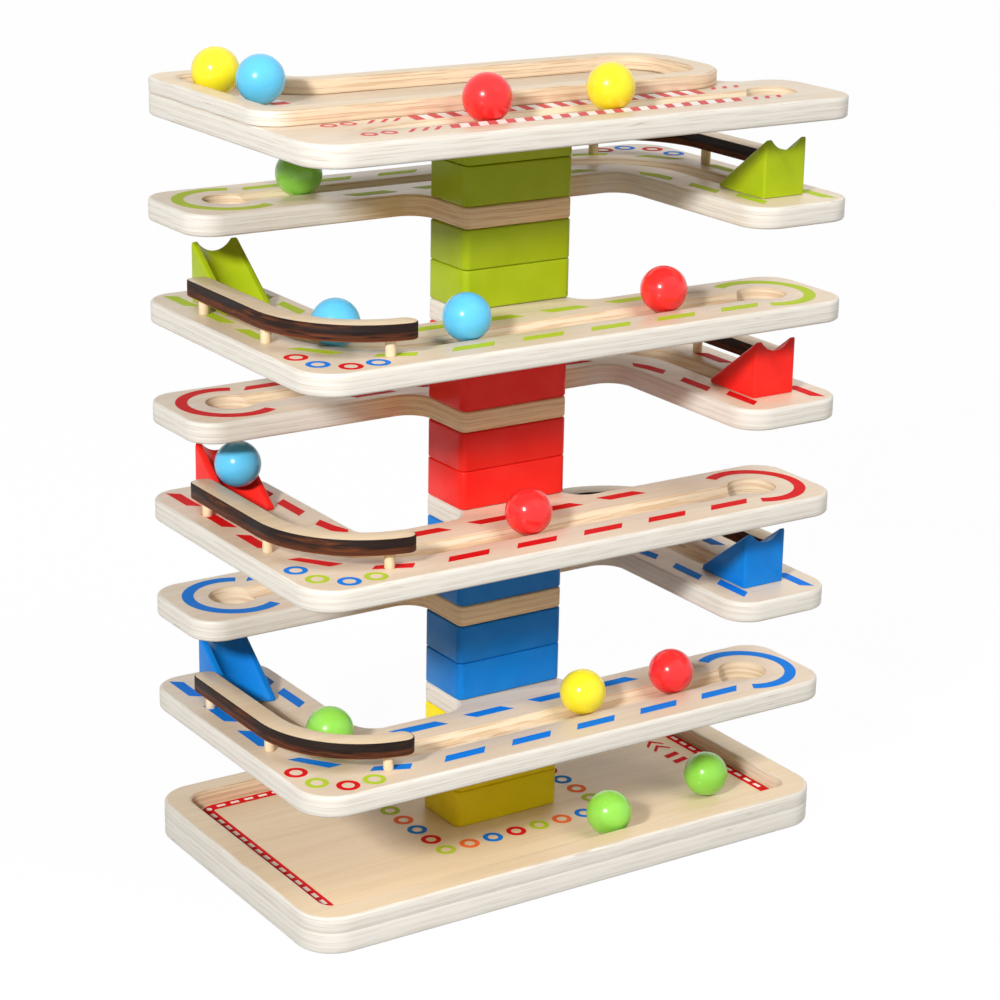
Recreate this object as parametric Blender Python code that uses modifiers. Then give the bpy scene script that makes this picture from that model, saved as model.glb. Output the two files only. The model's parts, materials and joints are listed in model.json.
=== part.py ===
"""Wooden ball ramp: plywood ramps on a painted post, with wedges, guard rails, trays and balls.

Metres, +Z up, +X along the boards to the right, +Y to the back.
The origin is the middle of the base's underside.
"""

import math

import bmesh
import bpy
from mathutils import Matrix
from mathutils import Vector

# Boards
BOARD_LENGTH = 0.330
BOARD_DEPTH = 0.188
PLY = 0.012
EDGE_ROUND = 0.0016
ARM_WIDTH = 0.067
OUTER_CORNER = 0.021
ARM_CORNER = 0.017
INNER_FILLET = 0.013
RAMP_COUNT = 6
TOP_TRIM = 0.0018

# Post
POST_LENGTH = 0.067
POST_DEPTH = 0.037
POST_CORNER = 0.004
BLOCK_HEIGHT = 0.0213
BLOCK_EDGE = 0.0006
FOOT_BLOCKS = 3
LEVEL_BLOCKS = 2

# Dowels that pin each board between its blocks
DOWEL_RADIUS = 0.005
DOWEL_REACH = 0.008
DOWEL_COVER = 0.004

# Grooves and drop holes
GROOVE_RADIUS = 0.0105
GROOVE_DEPTH = 0.0045
BEND_RADIUS = 0.050
HOLE_CLEARANCE = 0.0008
HOLE_INSET = 0.002
TOP_GROOVE_SETBACK = 0.0352
TOP_GROOVE_RUN_IN = 0.060

# Wedges
WEDGE_SETBACK = 0.0215
WEDGE_LENGTH = 0.0385
WEDGE_WIDTH = 0.0274
WEDGE_TOE = 0.002
WEDGE_HEADROOM = 0.0114
WEDGE_EDGE = 0.0009
CHANNEL_CLEARANCE = 0.0005
CHANNEL_DEPTH = 0.0050

# Guard rails and their pegs
RAIL_PLY = 0.0085
RAIL_LIFT = 0.0085
RAIL_WIDTH = 0.013
RAIL_CLEARANCE = 0.0025
RAIL_TUCK = 0.0020
RAIL_BEND_EXTRA = 0.004
RAIL_SWEEP = math.radians(83.0)
RAIL_SETBACK = 0.0405
PEG_RADIUS = 0.00275
PEG_SEAT = 0.004
PEG_SETBACK = 0.0105
PEG_SWEEP = math.radians(75.5)

# Base tray
BASE_RIM_HEIGHT = 0.0085
BASE_RIM_WIDTH = 0.0145
BASE_RIM_FILLET = 0.009

# Top tray
TOP_RIM_HEIGHT = 0.0075
TOP_RIM_WIDTH = 0.0135
TRAY_FROM_GROOVE = 0.0205
TRAY_DEPTH = 0.088
TRAY_FROM_HOLE = 0.0040
TRAY_CORNER = 0.033
TRAY_FILLET = 0.009

# Balls, and where each one lies
BALL_RADIUS = 0.0125
TRAY_YELLOW_FROM_LEFT = 0.0115
TRAY_YELLOW_FROM_BACK = 0.0256
TRAY_SKY_ASIDE = 0.0082
TRAY_SKY_AHEAD = 0.0325
TOP_RED_FROM_RUN_IN = 0.0190
TOP_YELLOW_FROM_RED = 0.0742
GREEN_6_FROM_HOLE = 0.0420
SKY_5_BEND_ANGLE = math.radians(215.0)
SKY_5_FROM_BEND = 0.0225
RED_5_FROM_HOLE = 0.0660
SKY_3_UP_WEDGE = 0.0250
RED_3_FROM_BEND = 0.0625
GREEN_1_BEND_ANGLE = math.radians(211.0)
RED_1_FROM_HOLE = 0.0509
YELLOW_1_FROM_RED = 0.0594
BASE_NEAR_FROM_POST = 0.0015
BASE_FAR_FROM_RIGHT = 0.0373
BASE_FAR_FROM_FRONT = 0.0274

# Clearances and fineness
GAP = 0.0003
OVERSHOOT = 0.002
CURVE_TOLERANCE = 0.00032
FILLET_SHARE = 0.49
WELD = 0.00001
FLAT_ANGLE = math.radians(0.5)
SHARP_ANGLE = math.radians(35.0)
EDGE_ANGLE = math.radians(60.0)
DOWEL_SIDES = 12
PEG_SIDES = 8
HOLE_SIDES = 24
CHANNEL_SIDES = 32
BALL_SIDES = 16
BALL_RINGS = 10

# Places that follow from the sizes
HALF_LENGTH = BOARD_LENGTH / 2
TOP_HALF = HALF_LENGTH - TOP_TRIM
HALF_DEPTH = BOARD_DEPTH / 2
ARM_X = ARM_WIDTH / 2 - HALF_LENGTH
RUN_Y = ARM_WIDTH / 2 - HALF_DEPTH
INNER_X = ARM_WIDTH - HALF_LENGTH
INNER_Y = ARM_WIDTH - HALF_DEPTH
HOLE_X = -ARM_X - HOLE_INSET
HOLE_RADIUS = BALL_RADIUS + HOLE_CLEARANCE
BEND_X = ARM_X + BEND_RADIUS
BEND_Y = RUN_Y + BEND_RADIUS
LEVEL_GAP = LEVEL_BLOCKS * BLOCK_HEIGHT
LEVEL_PITCH = PLY + LEVEL_GAP
FIRST_RAMP = PLY + FOOT_BLOCKS * BLOCK_HEIGHT
TOP_LEVEL = FIRST_RAMP + RAMP_COUNT * LEVEL_PITCH
WEDGE_HEEL_Y = HALF_DEPTH - WEDGE_SETBACK
WEDGE_TOE_Y = WEDGE_HEEL_Y - WEDGE_LENGTH
WEDGE_HEIGHT = LEVEL_GAP - WEDGE_HEADROOM
SLOPE = math.atan2(WEDGE_HEIGHT - WEDGE_TOE, WEDGE_LENGTH)
CHANNEL_RADIUS = BALL_RADIUS + CHANNEL_CLEARANCE
RAIL_X = ARM_X - BALL_RADIUS - RAIL_CLEARANCE - RAIL_WIDTH / 2
RAIL_FRONT_Y = RUN_Y - BALL_RADIUS + RAIL_TUCK - RAIL_WIDTH / 2
RAIL_BEND = BEND_RADIUS + RAIL_BEND_EXTRA
RAIL_BACK_Y = HALF_DEPTH - RAIL_SETBACK
RAIL_BEND_X = RAIL_X + RAIL_BEND
RAIL_BEND_Y = RAIL_FRONT_Y + RAIL_BEND
TRAY_FRONT_Y = RUN_Y + TRAY_FROM_GROOVE
TRAY_BACK_Y = TRAY_FRONT_Y + TRAY_DEPTH
TRAY_RIGHT_X = HOLE_X - TRAY_FROM_HOLE
GROOVE_HALF = math.sqrt(2 * GROOVE_RADIUS * GROOVE_DEPTH - GROOVE_DEPTH ** 2)
RIDE = math.sqrt((BALL_RADIUS + GAP) ** 2 - GROOVE_HALF ** 2)


def start_scene():
    """Clear the scene and make the collections for the pieces and for what cuts them."""
    for item in list(bpy.data.objects):
        bpy.data.objects.remove(item, do_unlink=True)
    for group in list(bpy.data.collections):
        bpy.data.collections.remove(group)
    groups = []
    for name in ("wooden_ball_ramp", "cutters"):
        group = bpy.data.collections.new(name)
        bpy.context.scene.collection.children.link(group)
        groups.append(group)
    return groups


def finish_material(name, colour, roughness):
    """A plain surface of one colour."""
    material = bpy.data.materials.new(name)
    material.use_nodes = True
    surface = material.node_tree.nodes["Principled BSDF"]
    surface.inputs["Base Color"].default_value = (*colour, 1.0)
    surface.inputs["Roughness"].default_value = roughness
    surface.inputs["Metallic"].default_value = 0.0
    material.diffuse_color = (*colour, 1.0)
    return material


def arc(centre, radius, start, turn):
    """Points on a circle from a start angle through a turn, both ends included."""
    facet = 2 * math.acos(1 - min(CURVE_TOLERANCE / radius, 0.5))
    steps = max(2, math.ceil(abs(turn) / facet))
    points = []
    for step in range(steps + 1):
        angle = start + turn * step / steps
        points.append((centre[0] + radius * math.cos(angle), centre[1] + radius * math.sin(angle)))
    return points


def rounded(corners):
    """A closed outline from corners given as x, y and radius; a wall limits the fillets at its ends."""
    points = []
    for index, (x, y, radius) in enumerate(corners):
        corner = Vector((x, y))
        before = Vector(corners[index - 1][:2]) - corner
        after = Vector(corners[(index + 1) % len(corners)][:2]) - corner
        half = before.angle(after) / 2
        wall = min(before.length, after.length)
        reach = min(radius / math.tan(half), wall * FILLET_SHARE)
        radius = reach * math.tan(half)
        before.normalize()
        after.normalize()
        centre = corner + (before + after).normalized() * radius / math.sin(half)
        first = corner + before * reach - centre
        last = corner + after * reach - centre
        turn = math.atan2(first.x * last.y - first.y * last.x, first.dot(last))
        points.extend(arc(centre, radius, math.atan2(first.y, first.x), turn))
    return points


def mesh_from_curve(name, data, matrix):
    """The closed mesh of a curve, with its loose caps welded on and its flat faces whole."""
    guide = bpy.data.objects.new(name, data)
    guide.matrix_world = matrix
    bpy.context.scene.collection.objects.link(guide)
    bpy.context.view_layer.update()
    graph = bpy.context.evaluated_depsgraph_get()
    mesh = bpy.data.meshes.new_from_object(guide.evaluated_get(graph), depsgraph=graph)
    mesh.name = name
    mesh.transform(guide.matrix_world)
    bpy.data.objects.remove(guide)
    form = bmesh.new()
    form.from_mesh(mesh)
    bmesh.ops.remove_doubles(form, verts=form.verts, dist=WELD)
    bmesh.ops.dissolve_limit(form, angle_limit=FLAT_ANGLE, verts=form.verts, edges=form.edges)
    bmesh.ops.recalc_face_normals(form, faces=form.faces)
    form.to_mesh(mesh)
    form.free()
    return mesh


def add_loop(data, points, closed):
    """Add straight runs between points to a curve."""
    spline = data.splines.new("POLY")
    spline.points.add(len(points) - 1)
    for point, place in zip(spline.points, points):
        x, y, *height = place
        point.co = (x, y, height[0] if height else 0.0, 1.0)
    spline.use_cyclic_u = closed


def plate(name, loops, bottom, top, matrix=None):
    """A flat plate from an outline, and any openings, between two heights."""
    data = bpy.data.curves.new(name, "CURVE")
    data.dimensions = "2D"
    data.fill_mode = "BOTH"
    data.extrude = (top - bottom) / 2
    for loop in loops:
        add_loop(data, loop, True)
    lift = Matrix.Translation((0.0, 0.0, (top + bottom) / 2))
    return mesh_from_curve(name, data, (matrix or Matrix()) @ lift)


def tube(name, points, radius):
    """A round bar along a line of points."""
    data = bpy.data.curves.new(name, "CURVE")
    data.dimensions = "3D"
    data.bevel_depth = radius
    data.bevel_resolution = 2
    data.use_fill_caps = True
    add_loop(data, points, False)
    return mesh_from_curve(name, data, Matrix())


def pins(name, bars):
    """Upright bars in one mesh, each given as x, y, radius, bottom, top and sides."""
    form = bmesh.new()
    for x, y, radius, bottom, top, sides in bars:
        place = Matrix.Translation((x, y, (bottom + top) / 2))
        bmesh.ops.create_cone(form, cap_ends=True, segments=sides, radius1=radius, radius2=radius,
                              depth=top - bottom, matrix=place)
    mesh = bpy.data.meshes.new(name)
    form.to_mesh(mesh)
    form.free()
    return mesh


def place_piece(name, mesh, matrix, material):
    """Put a piece in the model with its material, smooth where it is round."""
    if not mesh.materials:
        mesh.materials.append(material)
        mesh.shade_smooth()
        mesh.set_sharp_from_angle(angle=SHARP_ANGLE)
    piece = bpy.data.objects.new(name, mesh)
    piece.matrix_world = matrix
    PIECES.objects.link(piece)
    return piece


def place_cutter(name, mesh, matrix):
    """Put a cutting shape beside the model, shown as wire and never rendered."""
    cutter = bpy.data.objects.new(name, mesh)
    cutter.matrix_world = matrix
    cutter.display_type = "WIRE"
    cutter.hide_render = True
    CUTTERS.objects.link(cutter)
    return cutter


def soften(piece, width):
    """Break a piece's sharp edges."""
    bevel = piece.modifiers.new("soft edges", "BEVEL")
    bevel.width = width
    bevel.segments = 1
    bevel.limit_method = "ANGLE"
    bevel.angle_limit = EDGE_ANGLE
    bevel.loop_slide = False


def combine(piece, other, operation):
    """Cut another shape out of a piece, or join it on."""
    boolean = piece.modifiers.new(other.name, "BOOLEAN")
    boolean.operation = operation
    boolean.object = other


def level_matrix(level):
    """Where a ramp's frame stands: even levels are turned half round the post."""
    turn = Matrix.Rotation(math.pi, 4, "Z") if level % 2 == 0 else Matrix()
    return Matrix.Translation((0.0, 0.0, level_bottom(level))) @ turn


def level_bottom(level):
    """The underside of a ramp, or of the top board one level above the last ramp."""
    return FIRST_RAMP + (level - 1) * LEVEL_PITCH


def ramp_outline():
    """An L of two arms with a tongue that reaches back under the post."""
    post_x = POST_LENGTH / 2
    post_y = POST_DEPTH / 2
    return rounded([
        (-HALF_LENGTH, -HALF_DEPTH, OUTER_CORNER),
        (HALF_LENGTH, -HALF_DEPTH, ARM_CORNER),
        (HALF_LENGTH, INNER_Y, ARM_CORNER),
        (post_x, INNER_Y, INNER_FILLET),
        (post_x, post_y, POST_CORNER),
        (-post_x, post_y, POST_CORNER),
        (-post_x, INNER_Y, INNER_FILLET),
        (INNER_X, INNER_Y, INNER_FILLET),
        (INNER_X, HALF_DEPTH, ARM_CORNER),
        (-HALF_LENGTH, HALF_DEPTH, ARM_CORNER),
    ])


def groove_line():
    """The ball's way: from inside the wedge's toe, round the bend and along to the drop hole."""
    start_y = WEDGE_TOE_Y + CHANNEL_DEPTH / math.sin(SLOPE)
    height = PLY - GAP - GROOVE_DEPTH + GROOVE_RADIUS
    flat = [(ARM_X, start_y)]
    flat += arc((BEND_X, BEND_Y), BEND_RADIUS, math.pi, math.pi / 2)
    flat += [(HOLE_X, RUN_Y)]
    return [(x, y, height) for x, y in flat]


def drop_hole():
    """The bar that drills a drop hole, in a board's own frame."""
    return (HOLE_X, RUN_Y, HOLE_RADIUS, -OVERSHOOT, PLY + OVERSHOOT, HOLE_SIDES)


def peg_places():
    """Where a guard rail's pegs stand: near its back end, at the bend's start and near the bend's end."""
    angle = math.pi + PEG_SWEEP
    return [
        (RAIL_X, RAIL_BACK_Y - PEG_SETBACK),
        (RAIL_X, RAIL_BEND_Y),
        (RAIL_BEND_X + RAIL_BEND * math.cos(angle), RAIL_BEND_Y + RAIL_BEND * math.sin(angle)),
    ]


def peg_bars(clearance, top):
    """The pegs, or with a clearance the holes they sit in."""
    bottom = PLY - GAP - PEG_SEAT - clearance
    return [(x, y, PEG_RADIUS + clearance, bottom, top, PEG_SIDES) for x, y in peg_places()]


def rail_outline():
    """A strip of even width along the arm and round the bend, with rounded ends."""
    half = RAIL_WIDTH / 2
    centre = (RAIL_BEND_X, RAIL_BEND_Y)
    back = (RAIL_X, RAIL_BACK_Y - half)
    end_angle = math.pi + RAIL_SWEEP
    end = (centre[0] + RAIL_BEND * math.cos(end_angle), centre[1] + RAIL_BEND * math.sin(end_angle))
    outer = arc(centre, RAIL_BEND + half, math.pi, RAIL_SWEEP)
    inner = arc(centre, RAIL_BEND - half, end_angle, -RAIL_SWEEP)
    far_end = arc(end, half, end_angle, math.pi)
    back_end = arc(back, half, 0.0, math.pi)
    return outer + far_end[1:-1] + inner + back_end


def wedge_mesh(name):
    """A wedge's side outline across its width, in its ramp's frame."""
    profile = bpy.data.curves.new(name, "CURVE")
    profile.dimensions = "2D"
    profile.fill_mode = "BOTH"
    profile.extrude = WEDGE_WIDTH / 2
    add_loop(profile, [
        (WEDGE_TOE_Y, PLY),
        (WEDGE_HEEL_Y, PLY),
        (WEDGE_HEEL_Y, PLY + WEDGE_HEIGHT),
        (WEDGE_TOE_Y, PLY + WEDGE_TOE),
    ], True)
    stand = Matrix(((0, 0, 1, ARM_X), (1, 0, 0, 0), (0, 1, 0, 0), (0, 0, 0, 1)))
    return mesh_from_curve(name, profile, stand)


def channel_mesh():
    """The round bar, laid along the slope, that hollows a wedge's channel."""
    along = Vector((0.0, math.cos(SLOPE), math.sin(SLOPE)))
    out = Vector((0.0, -math.sin(SLOPE), math.cos(SLOPE)))
    middle = Vector((ARM_X, (WEDGE_TOE_Y + WEDGE_HEEL_Y) / 2, PLY + (WEDGE_TOE + WEDGE_HEIGHT) / 2))
    middle += out * (CHANNEL_RADIUS - CHANNEL_DEPTH)
    turn = Vector((0.0, 0.0, 1.0)).rotation_difference(along).to_matrix().to_4x4()
    form = bmesh.new()
    bmesh.ops.create_cone(form, cap_ends=True, segments=CHANNEL_SIDES, radius1=CHANNEL_RADIUS,
                          radius2=CHANNEL_RADIUS, depth=2 * WEDGE_LENGTH / math.cos(SLOPE),
                          matrix=Matrix.Translation(middle) @ turn)
    mesh = bpy.data.meshes.new("wedge_channel")
    form.to_mesh(mesh)
    form.free()
    return mesh


def make_ramps(dowel_holes):
    """The ramps, each with its wedge and its guard rail."""
    board = plate("ramp", [ramp_outline()], 0.0, PLY - GAP)
    groove = tube("groove", groove_line(), GROOVE_RADIUS)
    drill = pins("ramp_drill", [drop_hole(), *peg_bars(GAP, PLY + OVERSHOOT)])
    channel = channel_mesh()
    strip_bottom = PLY + RAIL_LIFT
    strip = plate("rail", [rail_outline()], strip_bottom, strip_bottom + RAIL_PLY)
    pegs = pins("pegs", peg_bars(0.0, strip_bottom + RAIL_PLY / 2))
    for level in range(1, RAMP_COUNT + 1):
        matrix = level_matrix(level)
        ramp = place_piece(f"ramp_{level}", board, matrix, PLYWOOD)
        soften(ramp, EDGE_ROUND)
        combine(ramp, place_cutter(f"cut_groove_{level}", groove, matrix), "DIFFERENCE")
        combine(ramp, place_cutter(f"cut_drill_{level}", drill, matrix), "DIFFERENCE")
        combine(ramp, dowel_holes[level], "DIFFERENCE")

        wedge = place_piece(f"wedge_{level}", wedge_mesh(f"wedge_{level}"), matrix, LEVEL_PAINT[level])
        soften(wedge, WEDGE_EDGE)
        combine(wedge, place_cutter(f"cut_channel_{level}", channel, matrix), "DIFFERENCE")

        rail = place_piece(f"rail_{level}", strip, matrix, CHARRED_PLY)
        combine(rail, place_cutter(f"pegs_{level}", pegs, matrix), "UNION")


def make_dowels():
    """The dowels at the base, every ramp and the top board, and the holes that they need."""
    holes = []
    for level in range(RAMP_COUNT + 2):
        bottom = level_bottom(level) - DOWEL_REACH
        top = level_bottom(level) + PLY + DOWEL_REACH
        name = f"dowel_{level}"
        if level == 0:
            name = "dowel_base"
            bottom = DOWEL_COVER
            top = PLY + DOWEL_REACH
        if level == RAMP_COUNT + 1:
            name = "dowel_top"
            top = TOP_LEVEL + PLY - DOWEL_COVER
        bar = pins(name, [(0.0, 0.0, DOWEL_RADIUS, bottom, top, DOWEL_SIDES)])
        place_piece(name, bar, Matrix(), DOWEL_WOOD)
        bore = pins(f"{name}_hole", [
            (0.0, 0.0, DOWEL_RADIUS + GAP, bottom - GAP, top + GAP, DOWEL_SIDES),
        ])
        holes.append(place_cutter(f"cut_{name}", bore, Matrix()))
    return holes


def make_post(dowel_holes):
    """The post's painted blocks, stacked between the boards."""
    outline = rounded([
        (-POST_LENGTH / 2, -POST_DEPTH / 2, POST_CORNER),
        (POST_LENGTH / 2, -POST_DEPTH / 2, POST_CORNER),
        (POST_LENGTH / 2, POST_DEPTH / 2, POST_CORNER),
        (-POST_LENGTH / 2, POST_DEPTH / 2, POST_CORNER),
    ])
    made = {}
    for level in range(RAMP_COUNT + 1):
        count = LEVEL_BLOCKS if level else FOOT_BLOCKS
        colour = STOREY_COLOUR[level]
        foot = level_bottom(level) + PLY if level else PLY
        for index in range(count):
            made[colour] = made.get(colour, 0) + 1
            name = f"block_{colour}_{made[colour]}"
            bottom = foot + index * BLOCK_HEIGHT
            block = place_piece(name, plate(name, [outline], bottom, bottom + BLOCK_HEIGHT - GAP),
                                Matrix(), PAINT[colour])
            soften(block, BLOCK_EDGE)
            if index == 0:
                combine(block, dowel_holes[level], "DIFFERENCE")
            if index == count - 1:
                combine(block, dowel_holes[level + 1], "DIFFERENCE")


def box_outline(left, right, front, back, radius):
    """A rounded rectangle."""
    return rounded([
        (left, front, radius),
        (right, front, radius),
        (right, back, radius),
        (left, back, radius),
    ])


def make_base(dowel_hole):
    """The base board and the rim that keeps the balls on it."""
    outline = box_outline(-HALF_LENGTH, HALF_LENGTH, -HALF_DEPTH, HALF_DEPTH, OUTER_CORNER)
    inside_x = HALF_LENGTH - BASE_RIM_WIDTH
    inside_y = HALF_DEPTH - BASE_RIM_WIDTH
    opening = box_outline(-inside_x, inside_x, -inside_y, inside_y, BASE_RIM_FILLET)
    board = place_piece("base_board", plate("base_board", [outline], 0.0, PLY - GAP), Matrix(), PLYWOOD)
    soften(board, EDGE_ROUND)
    combine(board, dowel_hole, "DIFFERENCE")
    ring = plate("base_rim", [outline, opening], PLY, PLY + BASE_RIM_HEIGHT)
    rim = place_piece("base_rim", ring, Matrix(), PLYWOOD)
    soften(rim, EDGE_ROUND)


def tray_outline(inset, corner, fillet, hollow):
    """The top tray's L, drawn in from the rim's outside by an inset."""
    left = inset - TOP_HALF
    right = TRAY_RIGHT_X - inset
    front = TRAY_FRONT_Y + inset
    inner_x = INNER_X - inset
    inner_y = TRAY_BACK_Y - inset
    back = HALF_DEPTH - inset
    return rounded([
        (left, front, fillet),
        (right, front, corner),
        (right, inner_y, corner),
        (inner_x, inner_y, hollow),
        (inner_x, back, fillet),
        (left, back, fillet),
    ])


def make_top(dowel_hole):
    """The top board with its starting groove and drop hole, and the L-shaped rim of its tray."""
    outline = rounded([
        (-TOP_HALF, -HALF_DEPTH, OUTER_CORNER),
        (TOP_HALF, -HALF_DEPTH, ARM_CORNER),
        (TOP_HALF, INNER_Y, ARM_CORNER),
        (TRAY_RIGHT_X, INNER_Y, INNER_FILLET),
        (TRAY_RIGHT_X, TRAY_BACK_Y, TRAY_CORNER),
        (INNER_X, TRAY_BACK_Y, INNER_FILLET),
        (INNER_X, HALF_DEPTH, ARM_CORNER),
        (-TOP_HALF, HALF_DEPTH, ARM_CORNER),
    ])
    matrix = Matrix.Translation((0.0, 0.0, TOP_LEVEL))
    board = place_piece("top_board", plate("top_board", [outline], 0.0, PLY - GAP), matrix, PLYWOOD)
    soften(board, EDGE_ROUND)
    start_x = TOP_GROOVE_SETBACK - TOP_HALF
    clear = PLY - GAP + GROOVE_RADIUS
    line = [
        (start_x, RUN_Y, clear),
        (start_x + TOP_GROOVE_RUN_IN, RUN_Y, clear - GROOVE_DEPTH),
        (HOLE_X, RUN_Y, clear - GROOVE_DEPTH),
    ]
    groove = place_cutter("cut_groove_top", tube("groove_top", line, GROOVE_RADIUS), matrix)
    combine(board, groove, "DIFFERENCE")
    combine(board, place_cutter("cut_drill_top", pins("top_drill", [drop_hole()]), matrix), "DIFFERENCE")
    combine(board, dowel_hole, "DIFFERENCE")

    outside = tray_outline(0.0, TRAY_CORNER, ARM_CORNER, INNER_FILLET)
    opening = tray_outline(TOP_RIM_WIDTH, TRAY_CORNER - TOP_RIM_WIDTH, TRAY_FILLET,
                           INNER_FILLET + TOP_RIM_WIDTH)
    ring = plate("top_rim", [outside, opening], PLY, PLY + TOP_RIM_HEIGHT)
    rim = place_piece("top_rim", ring, matrix, PLYWOOD)
    soften(rim, EDGE_ROUND)


def make_ball(name, colour, centre, axis_point=None):
    """A ball whose origin is its middle, or a point on the upright axis that it swings about."""
    origin = Vector(axis_point or centre)
    form = bmesh.new()
    bmesh.ops.create_uvsphere(form, u_segments=BALL_SIDES, v_segments=BALL_RINGS, radius=BALL_RADIUS,
                              matrix=Matrix.Translation(Vector(centre) - origin))
    mesh = bpy.data.meshes.new(name)
    form.to_mesh(mesh)
    form.free()
    place_piece(name, mesh, Matrix.Translation(origin), BALL_PAINT[colour])


def ride_height(level):
    """The height of a ball's middle when it rides in the groove of a ramp or of the top board."""
    return level_bottom(level) + PLY + RIDE


def bend_ball(name, colour, level, angle):
    """A ball in a ramp's bend, swinging about the bend's centre."""
    height = ride_height(level)
    x = BEND_X + BEND_RADIUS * math.cos(angle)
    y = BEND_Y + BEND_RADIUS * math.sin(angle)
    make_ball(name, colour, (x, y, height), (BEND_X, BEND_Y, height))


def make_balls():
    """The balls on the tray, in the grooves, on a wedge and on the base."""
    floor = TOP_LEVEL + PLY + BALL_RADIUS
    yellow_x = TOP_RIM_WIDTH - TOP_HALF + TRAY_YELLOW_FROM_LEFT
    yellow_y = HALF_DEPTH - TOP_RIM_WIDTH - TRAY_YELLOW_FROM_BACK
    make_ball("ball_tray_yellow", "yellow", (yellow_x, yellow_y, floor))
    make_ball("ball_tray_sky", "sky", (yellow_x + TRAY_SKY_ASIDE, yellow_y - TRAY_SKY_AHEAD, floor))

    height = ride_height(RAMP_COUNT + 1)
    red_x = TOP_GROOVE_SETBACK - TOP_HALF + TOP_GROOVE_RUN_IN + TOP_RED_FROM_RUN_IN
    make_ball("ball_top_red", "red", (red_x, RUN_Y, height))
    make_ball("ball_top_yellow", "yellow", (red_x + TOP_YELLOW_FROM_RED, RUN_Y, height))

    make_ball("ball_6_green", "green", (GREEN_6_FROM_HOLE - HOLE_X, -RUN_Y, ride_height(6)))
    bend_ball("ball_5_bend_sky", "sky", 5, SKY_5_BEND_ANGLE)
    make_ball("ball_5_sky", "sky", (BEND_X + SKY_5_FROM_BEND, RUN_Y, ride_height(5)))
    make_ball("ball_5_red", "red", (HOLE_X - RED_5_FROM_HOLE, RUN_Y, ride_height(5)))

    out = BALL_RADIUS + GAP - CHANNEL_DEPTH
    wedge_y = WEDGE_TOE_Y + SKY_3_UP_WEDGE * math.cos(SLOPE) - out * math.sin(SLOPE)
    wedge_z = PLY + WEDGE_TOE + SKY_3_UP_WEDGE * math.sin(SLOPE) + out * math.cos(SLOPE)
    make_ball("ball_3_wedge_sky", "sky", (ARM_X, wedge_y, level_bottom(3) + wedge_z))
    make_ball("ball_3_red", "red", (BEND_X + RED_3_FROM_BEND, RUN_Y, ride_height(3)))

    bend_ball("ball_1_bend_green", "green", 1, GREEN_1_BEND_ANGLE)
    red_1_x = HOLE_X - RED_1_FROM_HOLE
    make_ball("ball_1_red", "red", (red_1_x, RUN_Y, ride_height(1)))
    make_ball("ball_1_yellow", "yellow", (red_1_x - YELLOW_1_FROM_RED, RUN_Y, ride_height(1)))

    front = BASE_RIM_WIDTH - HALF_DEPTH
    right = HALF_LENGTH - BASE_RIM_WIDTH
    floor = PLY + BALL_RADIUS
    near = (POST_LENGTH / 2 + BASE_NEAR_FROM_POST, front + BALL_RADIUS + GAP, floor)
    far = (right - BASE_FAR_FROM_RIGHT, front + BASE_FAR_FROM_FRONT, floor)
    make_ball("ball_base_near_green", "green", near)
    make_ball("ball_base_far_green", "green", far)


PIECES, CUTTERS = start_scene()
PLYWOOD = finish_material("plywood", (0.86, 0.73, 0.55), 0.55)
CHARRED_PLY = finish_material("charred_plywood", (0.33, 0.20, 0.13), 0.65)
DOWEL_WOOD = finish_material("dowel_wood", (0.80, 0.64, 0.44), 0.60)
PAINT = {
    "yellow": finish_material("yellow_paint", (0.95, 0.80, 0.02), 0.30),
    "blue": finish_material("blue_paint", (0.02, 0.20, 0.62), 0.30),
    "red": finish_material("red_paint", (0.78, 0.03, 0.03), 0.30),
    "green": finish_material("green_paint", (0.40, 0.60, 0.02), 0.30),
}
BALL_PAINT = {
    "yellow": finish_material("yellow_lacquer", (0.98, 0.84, 0.02), 0.12),
    "sky": finish_material("sky_lacquer", (0.12, 0.52, 0.86), 0.12),
    "red": finish_material("red_lacquer", (0.86, 0.03, 0.03), 0.12),
    "green": finish_material("green_lacquer", (0.28, 0.74, 0.08), 0.12),
}
STOREY_COLOUR = ("yellow", "blue", "blue", "red", "red", "green", "green")
LEVEL_PAINT = {level: PAINT[STOREY_COLOUR[level]] for level in range(1, RAMP_COUNT + 1)}

DOWEL_HOLES = make_dowels()
make_base(DOWEL_HOLES[0])
make_post(DOWEL_HOLES)
make_ramps(DOWEL_HOLES)
make_top(DOWEL_HOLES[RAMP_COUNT + 1])
make_balls()
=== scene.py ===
"""Looks for the wooden ball ramp: plywood boards, painted blocks and wedges, charred rails and balls.

Metres, +Z up, +X along the boards to the right, +Y to the back.
"""

import json
import math

import bmesh
import bpy
from mathutils import Matrix
from mathutils import Vector

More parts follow.
